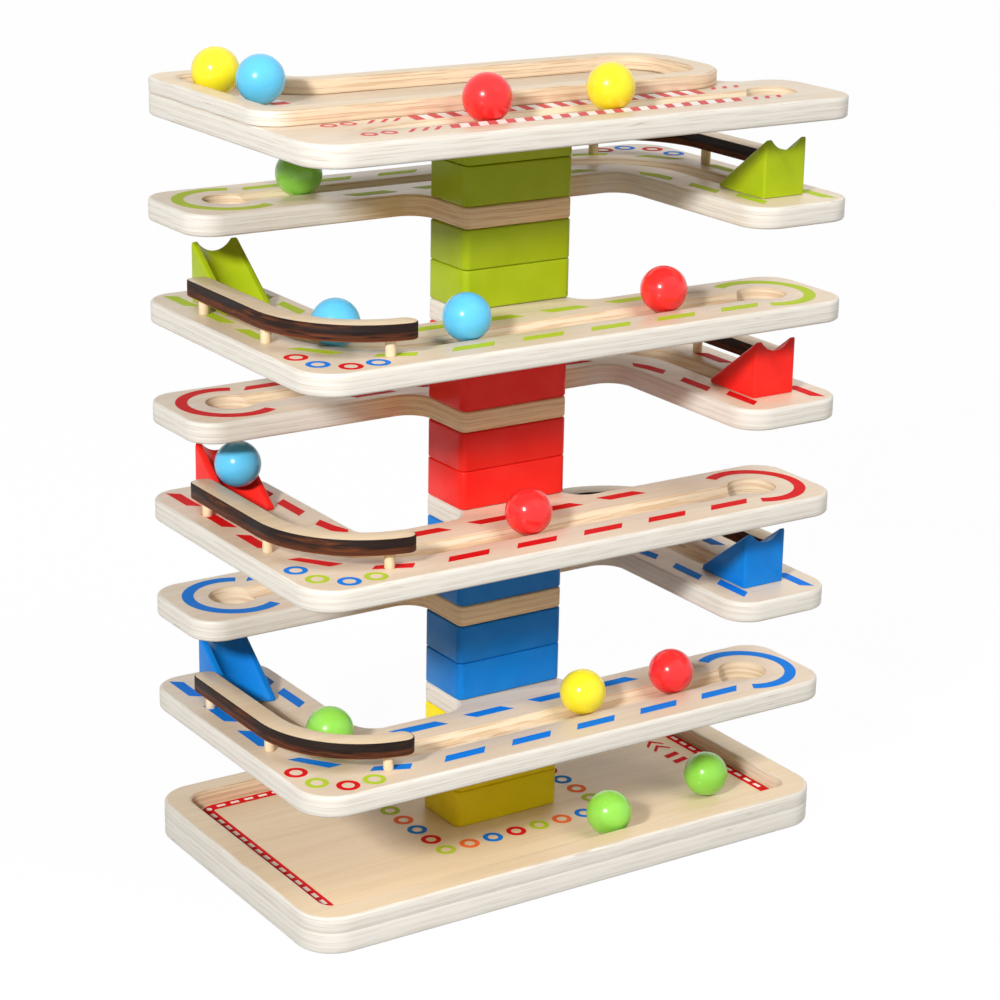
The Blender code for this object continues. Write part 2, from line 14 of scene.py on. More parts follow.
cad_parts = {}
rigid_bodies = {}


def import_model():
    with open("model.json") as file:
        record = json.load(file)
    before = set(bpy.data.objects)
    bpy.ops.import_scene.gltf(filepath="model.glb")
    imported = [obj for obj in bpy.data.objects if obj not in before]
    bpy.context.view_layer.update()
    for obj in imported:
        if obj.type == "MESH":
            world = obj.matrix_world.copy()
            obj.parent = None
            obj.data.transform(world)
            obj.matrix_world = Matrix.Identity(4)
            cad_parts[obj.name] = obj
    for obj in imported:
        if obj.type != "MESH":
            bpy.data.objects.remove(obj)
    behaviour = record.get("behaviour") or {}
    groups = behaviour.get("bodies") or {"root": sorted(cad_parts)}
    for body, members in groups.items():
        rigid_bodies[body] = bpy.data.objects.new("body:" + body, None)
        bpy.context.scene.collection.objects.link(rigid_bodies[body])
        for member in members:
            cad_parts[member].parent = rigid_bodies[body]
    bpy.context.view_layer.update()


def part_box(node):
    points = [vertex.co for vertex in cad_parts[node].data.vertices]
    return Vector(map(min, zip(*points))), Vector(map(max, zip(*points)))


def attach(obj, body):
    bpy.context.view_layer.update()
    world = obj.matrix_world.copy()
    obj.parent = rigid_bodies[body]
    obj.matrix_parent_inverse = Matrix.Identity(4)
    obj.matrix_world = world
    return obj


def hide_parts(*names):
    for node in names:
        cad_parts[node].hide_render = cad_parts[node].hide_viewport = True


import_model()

# Boards
HALF_LENGTH = 0.165
TOP_HALF = 0.1632
HALF_DEPTH = 0.094
PLY = 0.012
PLY_GAP = 0.0003
BOARD_TOP = PLY - PLY_GAP
BASE_TOP = 0.01195
PLY_COUNT = 7
EDGE_ROUGH = 0.5
MILLED_ROUGH = 0.55
EDGE_ROUND = 0.0016
JOINT_EDGE = 0.00008
ARM_WIDTH = 0.067
OUTER_CORNER = 0.021
ARM_CORNER = 0.017
INNER_FILLET = 0.013
RAMP_COUNT = 6
LEVELS = range(1, RAMP_COUNT + 1)
FIRST_RAMP = 0.0759
LEVEL_PITCH = 0.0546
TOP_LEVEL = FIRST_RAMP + RAMP_COUNT * LEVEL_PITCH
LEVEL_OFFSET = 3 * LEVEL_PITCH - FIRST_RAMP
LEVEL_COLOUR = (None, "blue", "blue", "red", "red", "green", "green")

# Post
POST_X = 0.0335
POST_Y = 0.0185
POST_CORNER = 0.004
BLOCK_EDGE = 0.0009
BLOCK_COUNTS = (("yellow", 3), ("blue", 4), ("red", 4), ("green", 4))

# Grooves, bends and drop holes
GROOVE_RADIUS = 0.0105
GROOVE_DEPTH = 0.0045
BEND_RADIUS = 0.050
HOLE_RADIUS = 0.0133
HOLE_INSET = 0.002
MILLED_EDGE = 0.00045
TOP_GROOVE_X = -0.128
TOP_RUN_IN = 0.060
ARM_X = ARM_WIDTH / 2 - HALF_LENGTH
RUN_Y = ARM_WIDTH / 2 - HALF_DEPTH
INNER_X = ARM_WIDTH - HALF_LENGTH
INNER_Y = ARM_WIDTH - HALF_DEPTH
HOLE_X = -ARM_X - HOLE_INSET
BEND_X = ARM_X + BEND_RADIUS
BEND_Y = RUN_Y + BEND_RADIUS

# Wedges
WEDGE_HEEL_Y = 0.0725
WEDGE_TOE_Y = 0.034
WEDGE_WIDTH = 0.0274
WEDGE_TOE = 0.002
WEDGE_HEIGHT = 0.0312
WEDGE_EDGE = 0.0013
CHANNEL_RADIUS = 0.0130
CHANNEL_DEPTH = 0.0050
CHANNEL_EDGE = 0.0009
CHANNEL_LENGTH = 0.12
SLOPE = math.atan2(WEDGE_HEIGHT - WEDGE_TOE, WEDGE_HEEL_Y - WEDGE_TOE_Y)

# Guard rails and pegs
RAIL_BOTTOM = 0.0205
RAIL_PLY = 0.0085
RAIL_WIDTH = 0.013
RAIL_X = -0.1530
RAIL_FRONT_Y = -0.0775
RAIL_BEND = 0.054
RAIL_BEND_X = RAIL_X + RAIL_BEND
RAIL_BEND_Y = RAIL_FRONT_Y + RAIL_BEND
RAIL_SWEEP = math.radians(83.0)
RAIL_BACK_Y = 0.0535
RAIL_CORNER = 0.0058
RAIL_EDGE = 0.0006
PEG_RADIUS = 0.00275
PEG_SETBACK = 0.0105
PEG_SWEEP = math.radians(75.5)
PEG_CHAMFER = 0.0004
SCORCH_FROM = RAIL_BOTTOM + 0.0018
SCORCH_TO = RAIL_BOTTOM + 0.0068
SCORCH_RAGGED = 0.004

# Trays
BASE_RIM_TOP = 0.0205
BASE_RIM_WIDTH = 0.0145
BASE_RIM_FILLET = 0.009
TOP_RIM_HEIGHT = 0.0075
TOP_RIM_WIDTH = 0.0135
TRAY_FRONT_Y = -0.040
TRAY_BACK_Y = 0.048
TRAY_RIGHT_X = 0.1255
TRAY_CORNER = 0.033
TRAY_FILLET = 0.009

# Finishes: brushed enamel on the blocks and wedges, thick lacquer on the balls
ENAMEL = {
    "tone": 0.55,
    "specks": 0.25,
    "rough": (0.30, 0.42),
    "shine": 0.2,
    "coat": 0.05,
    "coat_rough": 0.18,
    "ripple": (0.10, 0.0002),
}
GLOSS = {
    "tone": 0.35,
    "specks": 0.10,
    "rough": (0.20, 0.28),
    "shine": 0.3,
    "coat": 0.35,
    "coat_rough": 0.06,
    "ripple": (0.03, 0.0001),
}

# Balls
BALL_RADIUS = 0.0125
BALL_SIDES = 56
BALL_RINGS = 36
DIMPLE = 0.00025
BALLS = (
    ("ball_tray_yellow", "yellow"),
    ("ball_tray_sky", "sky"),
    ("ball_top_red", "red"),
    ("ball_top_yellow", "yellow"),
    ("ball_6_green", "green"),
    ("ball_5_bend_sky", "sky"),
    ("ball_5_sky", "sky"),
    ("ball_5_red", "red"),
    ("ball_3_wedge_sky", "sky"),
    ("ball_3_red", "red"),
    ("ball_1_bend_green", "green"),
    ("ball_1_red", "red"),
    ("ball_1_yellow", "yellow"),
    ("ball_base_near_green", "green"),
    ("ball_base_far_green", "green"),
)

# Printed marks: each ink's slot, then the ramps' marks, by level where they differ
INK_SLOT = {"lime": "green_paint", "orange": "red_paint", "blue": "blue_paint", "red": "red_paint"}
PRINT_LIFT = 0.00003
PRINT_FILM = 0.00008
PRINT_SHIFT = (0.0, -0.0006, 0.0, 0.0, 0.0, 0.0008, 0.0)
DASH_LENGTH = 0.0243
DASH_WIDTH = 0.0064
DASH_SLANT = 0.0049
DASH_PITCH = 0.0416
ROW_START_X = -0.0264
NEAR_ROW_Y = RUN_Y - 0.0195
FAR_ROW_Y = RUN_Y + 0.0223
NEAR_DASHES = range(-1, 4)
FAR_DASHES = range(3)
ARM_DASH_X = -0.1518
ARM_DASHES_Y = (0.0735, 0.0325, -0.0065)
ODD_WEDGE_DASHES = ((-0.1084, 0.0680), (-0.1084, 0.0332))
EVEN_WEDGE_DASHES = ((-0.1132, 0.0680), (-0.1084, 0.0332))
BEND_DASHES = (
    ((-0.0874, -0.0343), (-0.0783, -0.0414), (-0.0540, -0.0414), (-0.0585, -0.0350)),
    ((-0.1053, 0.0075), (-0.1113, 0.0020), (-0.1092, -0.0110), (-0.1043, -0.0203), (-0.1006, -0.0140),
     (-0.1034, -0.0048)),
    ((-0.1504, -0.0393), (-0.1439, -0.0399), (-0.1293, -0.0589), (-0.1373, -0.0590)),
    ((-0.1213, -0.0732), (-0.1168, -0.0694), (-0.0975, -0.0759), (-0.1021, -0.0813)),
)
ARC_X = 0.131
ARC_INNER = 0.022
ARC_OUTER = 0.0284
ARC_START = math.radians(-119.0)
ARC_TURN = math.radians(242.0)
ARC_SHIFT = (0.0, 0.0012, -0.0022, 0.0, -0.0006, -0.0014, -0.0006)
RING_RADIUS = 0.0061
RING_LINE = 0.0027
CORNER_RINGS = ((-0.1547, -0.0557), (-0.1518, -0.0722), (-0.1397, -0.0829), (-0.1246, -0.0832))
RING_INK = (None, ("red", "lime"), ("red", "lime"), ("blue", "lime"), ("blue", "lime"), ("red", "blue"),
            ("blue", "red"))

# Printed marks on the base; a side of the border is its hand, middle and front end
FOOT_RING_RADIUS = 0.0056
FOOT_ROW = ("lime", "orange", "blue", "red", "lime", "orange", "blue", "red")
FOOT_ROW_X = -0.0530
FOOT_ROW_Y = -0.0380
FOOT_ROW_PITCH = 0.0153
FOOT_SIDES = (
    (-0.0532, ("red", "blue", "orange", "lime", "red")),
    (0.0541, ("lime", "orange", "blue", "red", "lime")),
)
FOOT_SIDE_Y = -0.0230
FOOT_SIDE_PITCH = 0.0146
BORDER_SIDES = ((-1, -0.1410, -0.0640), (1, 0.1462, -0.0690))
BORDER_WIDTH = 0.0064
BORDER_LINE = 0.0022
BORDER_BEND = 0.002
BORDER_TURN_Y = 0.0702
BORDER_LEFT = -0.1358
BORDER_RIGHT = 0.1410
BORDER_DASH = 0.0052
BORDER_PITCH = 0.0088
BORDER_DASHES = 31
BORDER_DASH_X = -0.1338
BORDER_DOT = 0.0017
BORDER_DOT_OUT = 0.0037
CHEVRON = ((0.1245, 0.0100), (0.1305, 0.0155), (0.1357, 0.0100), (0.1357, 0.0124), (0.1305, 0.0184),
           (0.1245, 0.0124))
CHEVRON_SHIFTS = (0.0, 0.0072)
BAR = ((0.1250, 0.0), (0.1350, 0.0020), (0.1350, 0.0062), (0.1250, 0.0042))
BAR_SHIFTS = (-0.0010, -0.0095)

# Printed marks on the top board; a striped row is its start, low and high side, step and lean
STRIPES = 33
STRIPE_ROWS = (
    (-0.0808, -0.0787, -0.0698, 0.00535, 0.0041),
    (-0.0841, -0.0516, -0.0404, 0.00536, 0.0018),
)
TICKS_X = (0.1038, 0.1113, 0.1189)
TICK_ROWS = ((-0.0785, -0.0725, 0.0), (-0.0432, -0.0374, -0.0006))
TICK_WIDTH = 0.0028
TICK_LEAN = 0.0036
TOP_RING_ROWS = ((-0.0745, 0.0), (-0.0455, -0.0056))
TOP_RINGS_X = (-0.1241, -0.1132)
TOP_RING_RADIUS = 0.0043
TOP_RING_LINE = 0.0018
STROKES_X = (-0.1050, -0.0975, -0.0905)
STROKE_REACH = 0.0036
STROKE_WIDTH = 0.0026
STROKE_LEAN = 0.0066
TRAY_MARKS = 3
TRAY_MARK_X = -0.1245
TRAY_MARK_Y = 0.0315
TRAY_MARK_PITCH = 0.0070
TRAY_MARK_WIDTH = 0.0090

# Fineness
ARC_STEPS = 10
EDGE_STEPS = 4
BEND_STEPS = 30
TUBE_SIDES = 56
PEG_SIDES = 28
RING_SIDES = 32
DOT_SIDES = 24
BAND_STEPS = 48
FINE_STEPS = 2
BLOCK_STEPS = 3
CHANNEL_STEPS = 3
CORNER_STEPS = 6
FLAT = 0.995
SHARP_ANGLE = math.radians(32.0)
CREASE_ANGLE = math.radians(40.0)
RIGHT_ANGLE = math.radians(80.0)
TINY = 0.00001

# Camera and light
CAMERA_PLACE = Vector((-0.7491, -1.1344, 0.6353))
CAMERA_TURN = math.radians(-33.547)
CAMERA_RISE = math.radians(18.033)
CAMERA_ROLL = math.radians(1.110)
CAMERA_LENS = 94.462
CAMERA_SENSOR = 36.0
CAMERA_NEAREST = 0.05
FLOOR_SIZE = 30.0
FLOOR_DROP = 0.0002
FLOOR_SEEN = (0.95, 0.95, 0.95, 1.0)
FLOOR_SIDE = (0.32, 0.32, 0.32, 1.0)
FLOOR_GLOW = 0.97
WORLD = 0.11
KEY_PLACE = Vector((-2.22, -1.42, 1.55))
KEY_AIM = Vector((0.0, 0.0, 0.2))
KEY_POWER = 82.0
KEY_SIZE = 0.32
SOFT_ANGLE = math.radians(40.0)
SOFT_LAMPS = (
    ("fill", 1.75, Vector((0.45, -0.75, 0.95))),
    ("back", 1.0, Vector((0.55, 0.8, 0.17))),
)


def shade(red, green, blue):
    """A colour as the eye reads it, each part from 0 to 255, turned into amounts of light."""
    parts = []
    for part in (red / 255, green / 255, blue / 255):
        parts.append(part / 12.92 if part <= 0.04045 else ((part + 0.055) / 1.055) ** 2.4)
    return (*parts, 1.0)


def add_object(name, data):
    """A new object in the scene."""
    item = bpy.data.objects.new(name, data)
    bpy.context.scene.collection.objects.link(item)
    return item


def put(tree, socket, value):
    """Set a socket, or link it where the value is another socket."""
    if isinstance(value, bpy.types.NodeSocket):
        tree.links.new(value, socket)
    else:
        socket.default_value = value


def feed(tree, node, values):
    """Set or link a node's inputs by name."""
    for name, value in values.items():
        put(tree, node.inputs[name], value)


def calc(tree, operation, first, second=0.0):
    """A sum on one or two values."""
    node = tree.nodes.new("ShaderNodeMath")
    node.operation = operation
    put(tree, node.inputs[0], first)
    put(tree, node.inputs[1], second)
    return node.outputs[0]


def stretch(tree, vector, scale):
    """Coordinates drawn out so that a texture runs along the wood."""
    node = tree.nodes.new("ShaderNodeMapping")
    feed(tree, node, {"Vector": vector, "Scale": scale})
    return node.outputs["Vector"]


def noise(tree, vector, detail, distortion=0.0):
    """Soft noise between 0 and 1."""
    node = tree.nodes.new("ShaderNodeTexNoise")
    feed(tree, node, {"Vector": vector, "Scale": 1.0, "Detail": detail, "Distortion": distortion})
    return node.outputs["Fac"]


def spread(tree, value, low, high, to_low=0.0, to_high=1.0):
    """A value between two limits, spread over another range."""
    node = tree.nodes.new("ShaderNodeMapRange")
    node.interpolation_type = "SMOOTHSTEP"
    feed(tree, node, {"Value": value, "From Min": low, "From Max": high, "To Min": to_low,
                      "To Max": to_high})
    return node.outputs["Result"]


def mix(tree, factor, first, second):
    """One colour laid over another by a factor."""
    node = tree.nodes.new("ShaderNodeMix")
    node.data_type = "RGBA"
    put(tree, node.inputs["Factor"], factor)
    put(tree, node.inputs[6], first)
    put(tree, node.inputs[7], second)
    return node.outputs[2]


def new_group(name, outputs):
    """A shader node group that reads a vector and gives out named values."""
    tree = bpy.data.node_groups.new(name, "ShaderNodeTree")
    tree.interface.new_socket("Vector", in_out="INPUT", socket_type="NodeSocketVector")
    for output in outputs:
        tree.interface.new_socket(output, in_out="OUTPUT", socket_type="NodeSocketFloat")
    entry = tree.nodes.new("NodeGroupInput")
    leave = tree.nodes.new("NodeGroupOutput")
    return tree, entry.outputs["Vector"], leave


def above_level(tree, height):
    """A height measured from the underside of the board below it."""
    return calc(tree, "MODULO", calc(tree, "ADD", height, LEVEL_OFFSET), LEVEL_PITCH)


def grain_group():
    """Wood grain along X: a broad figure, fine streaks and short pores."""
    tree, vector, leave = new_group("wood grain", ("Figure", "Streaks", "Pores"))
    figure = noise(tree, stretch(tree, vector, (6.0, 75.0, 75.0)), 3.0, 0.8)
    streaks = noise(tree, stretch(tree, vector, (14.0, 480.0, 480.0)), 4.0)
    pores = noise(tree, stretch(tree, vector, (150.0, 1900.0, 1900.0)), 2.0)
    feed(tree, leave, {
        "Figure": spread(tree, figure, 0.3, 0.7),
        "Streaks": spread(tree, streaks, 0.28, 0.72),
        "Pores": spread(tree, pores, 0.62, 0.75),
    })
    return tree


def layer_group():
    """The layers of a plywood edge by height, with masks for inside the outline and for the painted shade
    near the post.
    """
    tree, vector, leave = new_group("ply layers", ("Cross", "Glue", "Fibre", "Voids", "Inner", "PostShade"))
    split = tree.nodes.new("ShaderNodeSeparateXYZ")
    put(tree, split.inputs["Vector"], vector)
    wobble = noise(tree, stretch(tree, vector, (30.0, 30.0, 90.0)), 2.0)
    height = calc(tree, "ADD", split.outputs["Z"], calc(tree, "MULTIPLY", wobble, 0.0006))
    level = above_level(tree, height)
    layer = calc(tree, "MULTIPLY", level, PLY_COUNT / PLY)
    pair = calc(tree, "PINGPONG", layer, 1.0)
    near = calc(tree, "ABSOLUTE", calc(tree, "SUBTRACT", pair, 0.5))
    fibre = noise(tree, stretch(tree, vector, (45.0, 45.0, 1500.0)), 4.0)
    gaps = noise(tree, stretch(tree, vector, (38.0, 38.0, 420.0)), 1.0)
    along = calc(tree, "MULTIPLY", calc(tree, "ABSOLUTE", split.outputs["X"]), 1 / HALF_LENGTH)
    across = calc(tree, "MULTIPLY", calc(tree, "ABSOLUTE", split.outputs["Y"]), 1 / HALF_DEPTH)
    outward = calc(tree, "MAXIMUM", along, across)
    feed(tree, leave, {
        "Cross": spread(tree, pair, 0.42, 0.58),
        "Glue": spread(tree, near, 0.02, 0.13, 1.0, 0.0),
        "Fibre": spread(tree, fibre, 0.3, 0.7),
        "Voids": spread(tree, gaps, 0.745, 0.775),
        "Inner": spread(tree, outward, 0.86, 0.97, 1.0, 0.0),
        # Painted shade: a mask for the edges near the post, where the boards above cast shade
        "PostShade": spread(tree, outward, 0.30, 0.54, 1.0, 0.0),
    })
    return tree


def coat_group():
    """A brushed coat's own unevenness: broad tone, fine ripple and specks."""
    tree, vector, leave = new_group("coat unevenness", ("Tone", "Ripple", "Specks"))
    tone = noise(tree, stretch(tree, vector, (55.0, 55.0, 55.0)), 3.0)
    ripple = noise(tree, stretch(tree, vector, (420.0, 420.0, 420.0)), 2.0)
    specks = noise(tree, stretch(tree, vector, (1300.0, 1300.0, 1300.0)), 1.0)
    feed(tree, leave, {
        "Tone": spread(tree, tone, 0.3, 0.7),
        "Ripple": ripple,
        "Specks": spread(tree, specks, 0.70, 0.78),
    })
    return tree


def start_material(name, group, turn=(0.0, 0.0, 0.0)):
    """A new material with a group on object coordinates, turned so the grain runs along the piece."""
    material = bpy.data.materials.new(name)
    material.use_nodes = True
    tree = material.node_tree
    surface = tree.nodes["Principled BSDF"]
    place = tree.nodes.new("ShaderNodeTexCoord")
    turned = tree.nodes.new("ShaderNodeMapping")
    feed(tree, turned, {"Vector": place.outputs["Object"], "Rotation": turn})
    effect = tree.nodes.new("ShaderNodeGroup")
    effect.node_tree = group
    put(tree, effect.inputs["Vector"], turned.outputs["Vector"])
    return material, tree, surface, effect


def add_bump(tree, surface, height, strength, distance):
    """Raise the surface by a height."""
    bump = tree.nodes.new("ShaderNodeBump")
    feed(tree, bump, {"Height": height, "Strength": strength, "Distance": distance})
    put(tree, surface.inputs["Normal"], bump.outputs["Normal"])


def wood_material(name, pale, deep, pore, turn=(0.0, 0.0, 0.0)):
    """A sanded and sealed wood face."""
    material, tree, surface, grain = start_material(name, GRAIN, turn)
    streaks = grain.outputs["Streaks"]
    pores = grain.outputs["Pores"]
    blend = calc(tree, "ADD", calc(tree, "MULTIPLY", grain.outputs["Figure"], 0.55),
                 calc(tree, "MULTIPLY", streaks, 0.45))
    colour = mix(tree, blend, pale, deep)
    colour = mix(tree, calc(tree, "MULTIPLY", pores, 0.18), colour, pore)
    rough = spread(tree, streaks, 0.0, 1.0, 0.34, 0.46)
    feed(tree, surface, {"Base Color": colour, "Roughness": rough, "Coat Weight": 0.08,
                         "Coat Roughness": 0.20})
    add_bump(tree, surface, calc(tree, "SUBTRACT", streaks, pores), 0.16, 0.0002)
    return material


def layered_material(name, tones, void, rough, mask=None, inner=None):
    """A cut through the plywood's layers, which turns to the given tones where the mask says: a rim's
    warmer inside, or warm brown painted shade by the post.
    """
    long_layer, cross_layer, glue = tones
    material, tree, surface, layers = start_material(name, LAYERS)
    fibre = layers.outputs["Fibre"]
    cross = layers.outputs["Cross"]
    softened = calc(tree, "MULTIPLY", cross, spread(tree, fibre, 0.1, 0.9, 0.1, 1.0))
    colour = mix(tree, softened, long_layer, cross_layer)
    lined = calc(tree, "MULTIPLY", layers.outputs["Glue"], spread(tree, fibre, 0.3, 0.9, 0.05, 0.75))
    colour = mix(tree, lined, colour, glue)
    holes = calc(tree, "MULTIPLY", layers.outputs["Voids"], calc(tree, "MULTIPLY", cross, 0.6))
    colour = mix(tree, holes, colour, void)
    if mask:
        # Where the mask says, the layers turn to the given tones; by the post these tones are painted
        # shade
        toned = mix(tree, calc(tree, "ADD", calc(tree, "MULTIPLY", softened, 0.6), lined), *inner)
        colour = mix(tree, layers.outputs[mask], colour, toned)
    uneven = spread(tree, fibre, 0.0, 1.0, rough - 0.06, rough + 0.08)
    feed(tree, surface, {"Base Color": colour, "Roughness": uneven})
    relief = calc(tree, "SUBTRACT", calc(tree, "MULTIPLY", fibre, 0.4), calc(tree, "ADD", lined, holes))
    add_bump(tree, surface, relief, 0.12, 0.0003)
    return material


def coated_material(name, body, deep, finish):
    """A bright coat on wood, thin or thick as its finish says."""
    material, tree, surface, coat = start_material(name, COAT)
    tone = coat.outputs["Tone"]
    colour = mix(tree, calc(tree, "MULTIPLY", tone, finish["tone"]), body, deep)
    colour = mix(tree, calc(tree, "MULTIPLY", coat.outputs["Specks"], finish["specks"]), colour, deep)
    feed(tree, surface, {
        "Base Color": colour,
        "Roughness": spread(tree, tone, 0.0, 1.0, *finish["rough"]),
        "Specular IOR Level": finish["shine"],
        "Coat Weight": finish["coat"],
        "Coat Roughness": finish["coat_rough"],
    })
    add_bump(tree, surface, coat.outputs["Ripple"], *finish["ripple"])
    return material


def ink_material(name, body, worn):
    """Printed ink that lets a little of the grain through."""
    material, tree, surface, grain = start_material(name, GRAIN)
    streaks = grain.outputs["Streaks"]
    pores = grain.outputs["Pores"]
    cover = calc(tree, "ADD", calc(tree, "MULTIPLY", streaks, 0.22), calc(tree, "MULTIPLY", pores, 0.3))
    feed(tree, surface, {
        "Base Color": mix(tree, cover, body, worn),
        "Roughness": spread(tree, streaks, 0.0, 1.0, 0.46, 0.6),
        "Specular IOR Level": 0.03,
    })
    add_bump(tree, surface, pores, 0.08, 0.0001)
    return material


def charred_material(name):
    """The burnt edge of a laser-cut strip: soot, with brown along its foot and where the soot is thin."""
    material, tree, surface, layers = start_material(name, LAYERS)
    place = tree.nodes["Texture Coordinate"].outputs["Object"]
    split = tree.nodes.new("ShaderNodeSeparateXYZ")
    put(tree, split.inputs["Vector"], place)
    soot = noise(tree, stretch(tree, place, (20.0, 20.0, 150.0)), 3.0)
    streaks = noise(tree, stretch(tree, place, (55.0, 55.0, 800.0)), 3.0)
    level = above_level(tree, split.outputs["Z"])
    ragged = calc(tree, "ADD", level, calc(tree, "MULTIPLY", streaks, SCORCH_RAGGED))
    foot = spread(tree, ragged, SCORCH_FROM, SCORCH_TO, 0.95, 0.0)
    patches = spread(tree, soot, 0.48, 0.68, 0.0, 0.7)
    thin = calc(tree, "MULTIPLY", patches, spread(tree, streaks, 0.36, 0.58))
    lined = spread(tree, layers.outputs["Cross"], 0.0, 1.0, 1.0, 0.45)
    bare = calc(tree, "MULTIPLY", calc(tree, "MAXIMUM", foot, thin), lined)
    colour = mix(tree, bare, SOOT, SCORCH)
    colour = mix(tree, spread(tree, streaks, 0.54, 0.72, 0.0, 0.8), colour, DEEP_SOOT)
    rough = spread(tree, soot, 0.3, 0.7, 0.45, 0.7)
    feed(tree, surface, {"Base Color": colour, "Roughness": rough, "Specular IOR Level": 0.15})
    relief = calc(tree, "ADD", calc(tree, "MULTIPLY", layers.outputs["Cross"], 0.5), streaks)
    add_bump(tree, surface, relief, 0.4, 0.0004)
    return material


def plate_form(corners, low, high):
    """A flat plate from corners given as x, y and rounding radius."""
    form = bmesh.new()
    points = [form.verts.new((corner[0], corner[1], low)) for corner in corners]
    form.faces.new(points)
    for radius in sorted({corner[2] for corner in corners}):
        chosen = [point for point, corner in zip(points, corners) if corner[2] == radius]
        bmesh.ops.bevel(form, geom=chosen, offset=radius, offset_type="OFFSET", segments=ARC_STEPS,
                        profile=0.5, affect="VERTICES", material=-1)
    grow(form, form.faces[:], (0.0, 0.0, high - low))
    bmesh.ops.recalc_face_normals(form, faces=form.faces)
    return form


def is_level(edge):
    """Whether an edge lies flat."""
    return abs(edge.verts[0].co.z - edge.verts[1].co.z) < TINY


def is_upright(edge):
    """Whether an edge stands straight up."""
    return (edge.verts[0].co - edge.verts[1].co).xy.length < TINY


def round_edges(form, edges, width, steps, material=-1):
    """Round chosen edges."""
    bmesh.ops.bevel(form, geom=edges, offset=width, offset_type="OFFSET", segments=steps, profile=0.5,
                    affect="EDGES", material=material, clamp_overlap=True)


def round_rims(form, width, steps=EDGE_STEPS, above=-1.0, below=1.0):
    """Round a plate's upper and lower edges, or only those between two heights."""
    edges = []
    for edge in form.edges:
        height = edge.verts[0].co.z
        if is_level(edge) and above < height < below and edge.calc_face_angle(0.0) > RIGHT_ANGLE:
            edges.append(edge)
    round_edges(form, edges, width, steps)


def mark_faces(form, flat, cut):
    """Give flat faces one material place and all other faces another."""
    form.normal_update()
    for face in form.faces:
        face.material_index = flat if abs(face.normal.z) > FLAT else cut


def to_mesh(name, form, materials):
    """Turn a form into a mesh with its materials."""
    bmesh.ops.remove_doubles(form, verts=form.verts, dist=TINY / 10)
    bmesh.ops.recalc_face_normals(form, faces=form.faces)
    mesh = bpy.data.meshes.new(name)
    form.to_mesh(mesh)
    form.free()
    for material in materials:
        mesh.materials.append(material)
    return mesh


def carve(mesh, cutters):
    """Cut shapes out of a mesh."""
    body = add_object("body", mesh)
    tools = []
    for cutter in cutters:
        tool = add_object("tool", cutter)
        cut = body.modifiers.new("cut", "BOOLEAN")
        cut.operation = "DIFFERENCE"
        cut.solver = "EXACT"
        cut.material_mode = "TRANSFER"
        cut.object = tool
        tools.append(tool)
    bpy.context.view_layer.update()
    graph = bpy.context.evaluated_depsgraph_get()
    carved = bpy.data.meshes.new_from_object(body.evaluated_get(graph), depsgraph=graph)
    for item in (body, *tools):
        bpy.data.objects.remove(item)
    return carved


def ease_cuts(mesh, width, milled, steps=FINE_STEPS, above=-1.0):
    """Take the sharpness off the edges that cutting left, down to a height."""
    form = bmesh.new()
    form.from_mesh(mesh)
    bmesh.ops.remove_doubles(form, verts=form.verts, dist=TINY)
    edges = []
    for edge in form.edges:
        kinds = {face.material_index for face in edge.link_faces}
        top = max(vert.co.z for vert in edge.verts)
        if milled in kinds and top > above and edge.calc_face_angle(0.0) > CREASE_ANGLE:
            edges.append(edge)
    round_edges(form, edges, width, steps, milled)
    bmesh.ops.recalc_face_normals(form, faces=form.faces)
    form.to_mesh(mesh)
    form.free()


def add_piece(name, mesh, body, matrix=None, node=None):
    """Put a finished piece in the scene, smooth where it is round."""
    if matrix:
        mesh.transform(matrix)
    mesh.shade_smooth()
    mesh.set_sharp_from_angle(angle=SHARP_ANGLE)
    piece = add_object(name, mesh)
    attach(piece, body)
    if node:
        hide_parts(node)


def level_matrix(level):
    """Where a ramp's own frame stands: even levels are turned half round the post."""
    turn = Matrix.Rotation(math.pi, 4, "Z") if level % 2 == 0 else Matrix()
    return Matrix.Translation((0.0, 0.0, FIRST_RAMP + (level - 1) * LEVEL_PITCH)) @ turn


def with_edges(faces):
    """Faces together with their edges, so that drawing them out leaves no wall inside the form."""
    return [*faces, *dict.fromkeys(edge for face in faces for edge in face.edges)]


def grow(form, faces, step):
    """Draw faces out along a step and give back the faces at the far end."""
    grown = bmesh.ops.extrude_face_region(form, geom=with_edges(faces))
    moved = [item for item in grown["geom"] if isinstance(item, bmesh.types.BMVert)]
    bmesh.ops.translate(form, verts=moved, vec=step)
    return [item for item in grown["geom"] if isinstance(item, bmesh.types.BMFace)]


def swing(form, faces, centre, angle, steps):
    """Turn faces round an upright axis and give back the faces at the far end."""
    turned = bmesh.ops.spin(form, geom=with_edges(faces), cent=centre, axis=(0.0, 0.0, 1.0), angle=angle,
                            steps=steps, use_merge=False, use_duplicate=False)
    return [item for item in turned["geom_last"] if isinstance(item, bmesh.types.BMFace)]


def groove_cutter():
    """The round bar that cuts a ramp's groove: along the arm, round the bend and along to the hole."""
    form = bmesh.new()
    height = BOARD_TOP - GROOVE_DEPTH + GROOVE_RADIUS
    start_y = WEDGE_TOE_Y + CHANNEL_DEPTH / math.sin(SLOPE)
    place = Matrix.Translation((ARM_X, start_y, height)) @ Matrix.Rotation(math.pi / 2, 4, "X")
    bmesh.ops.create_circle(form, cap_ends=True, segments=TUBE_SIDES, radius=GROOVE_RADIUS, matrix=place)
    end = grow(form, form.faces[:], (0.0, BEND_Y - start_y, 0.0))
    end = swing(form, end, (BEND_X, BEND_Y, height), math.pi / 2, BEND_STEPS)
    grow(form, end, (HOLE_X - BEND_X, 0.0, 0.0))
    return to_mesh("groove", form, [MILLED])


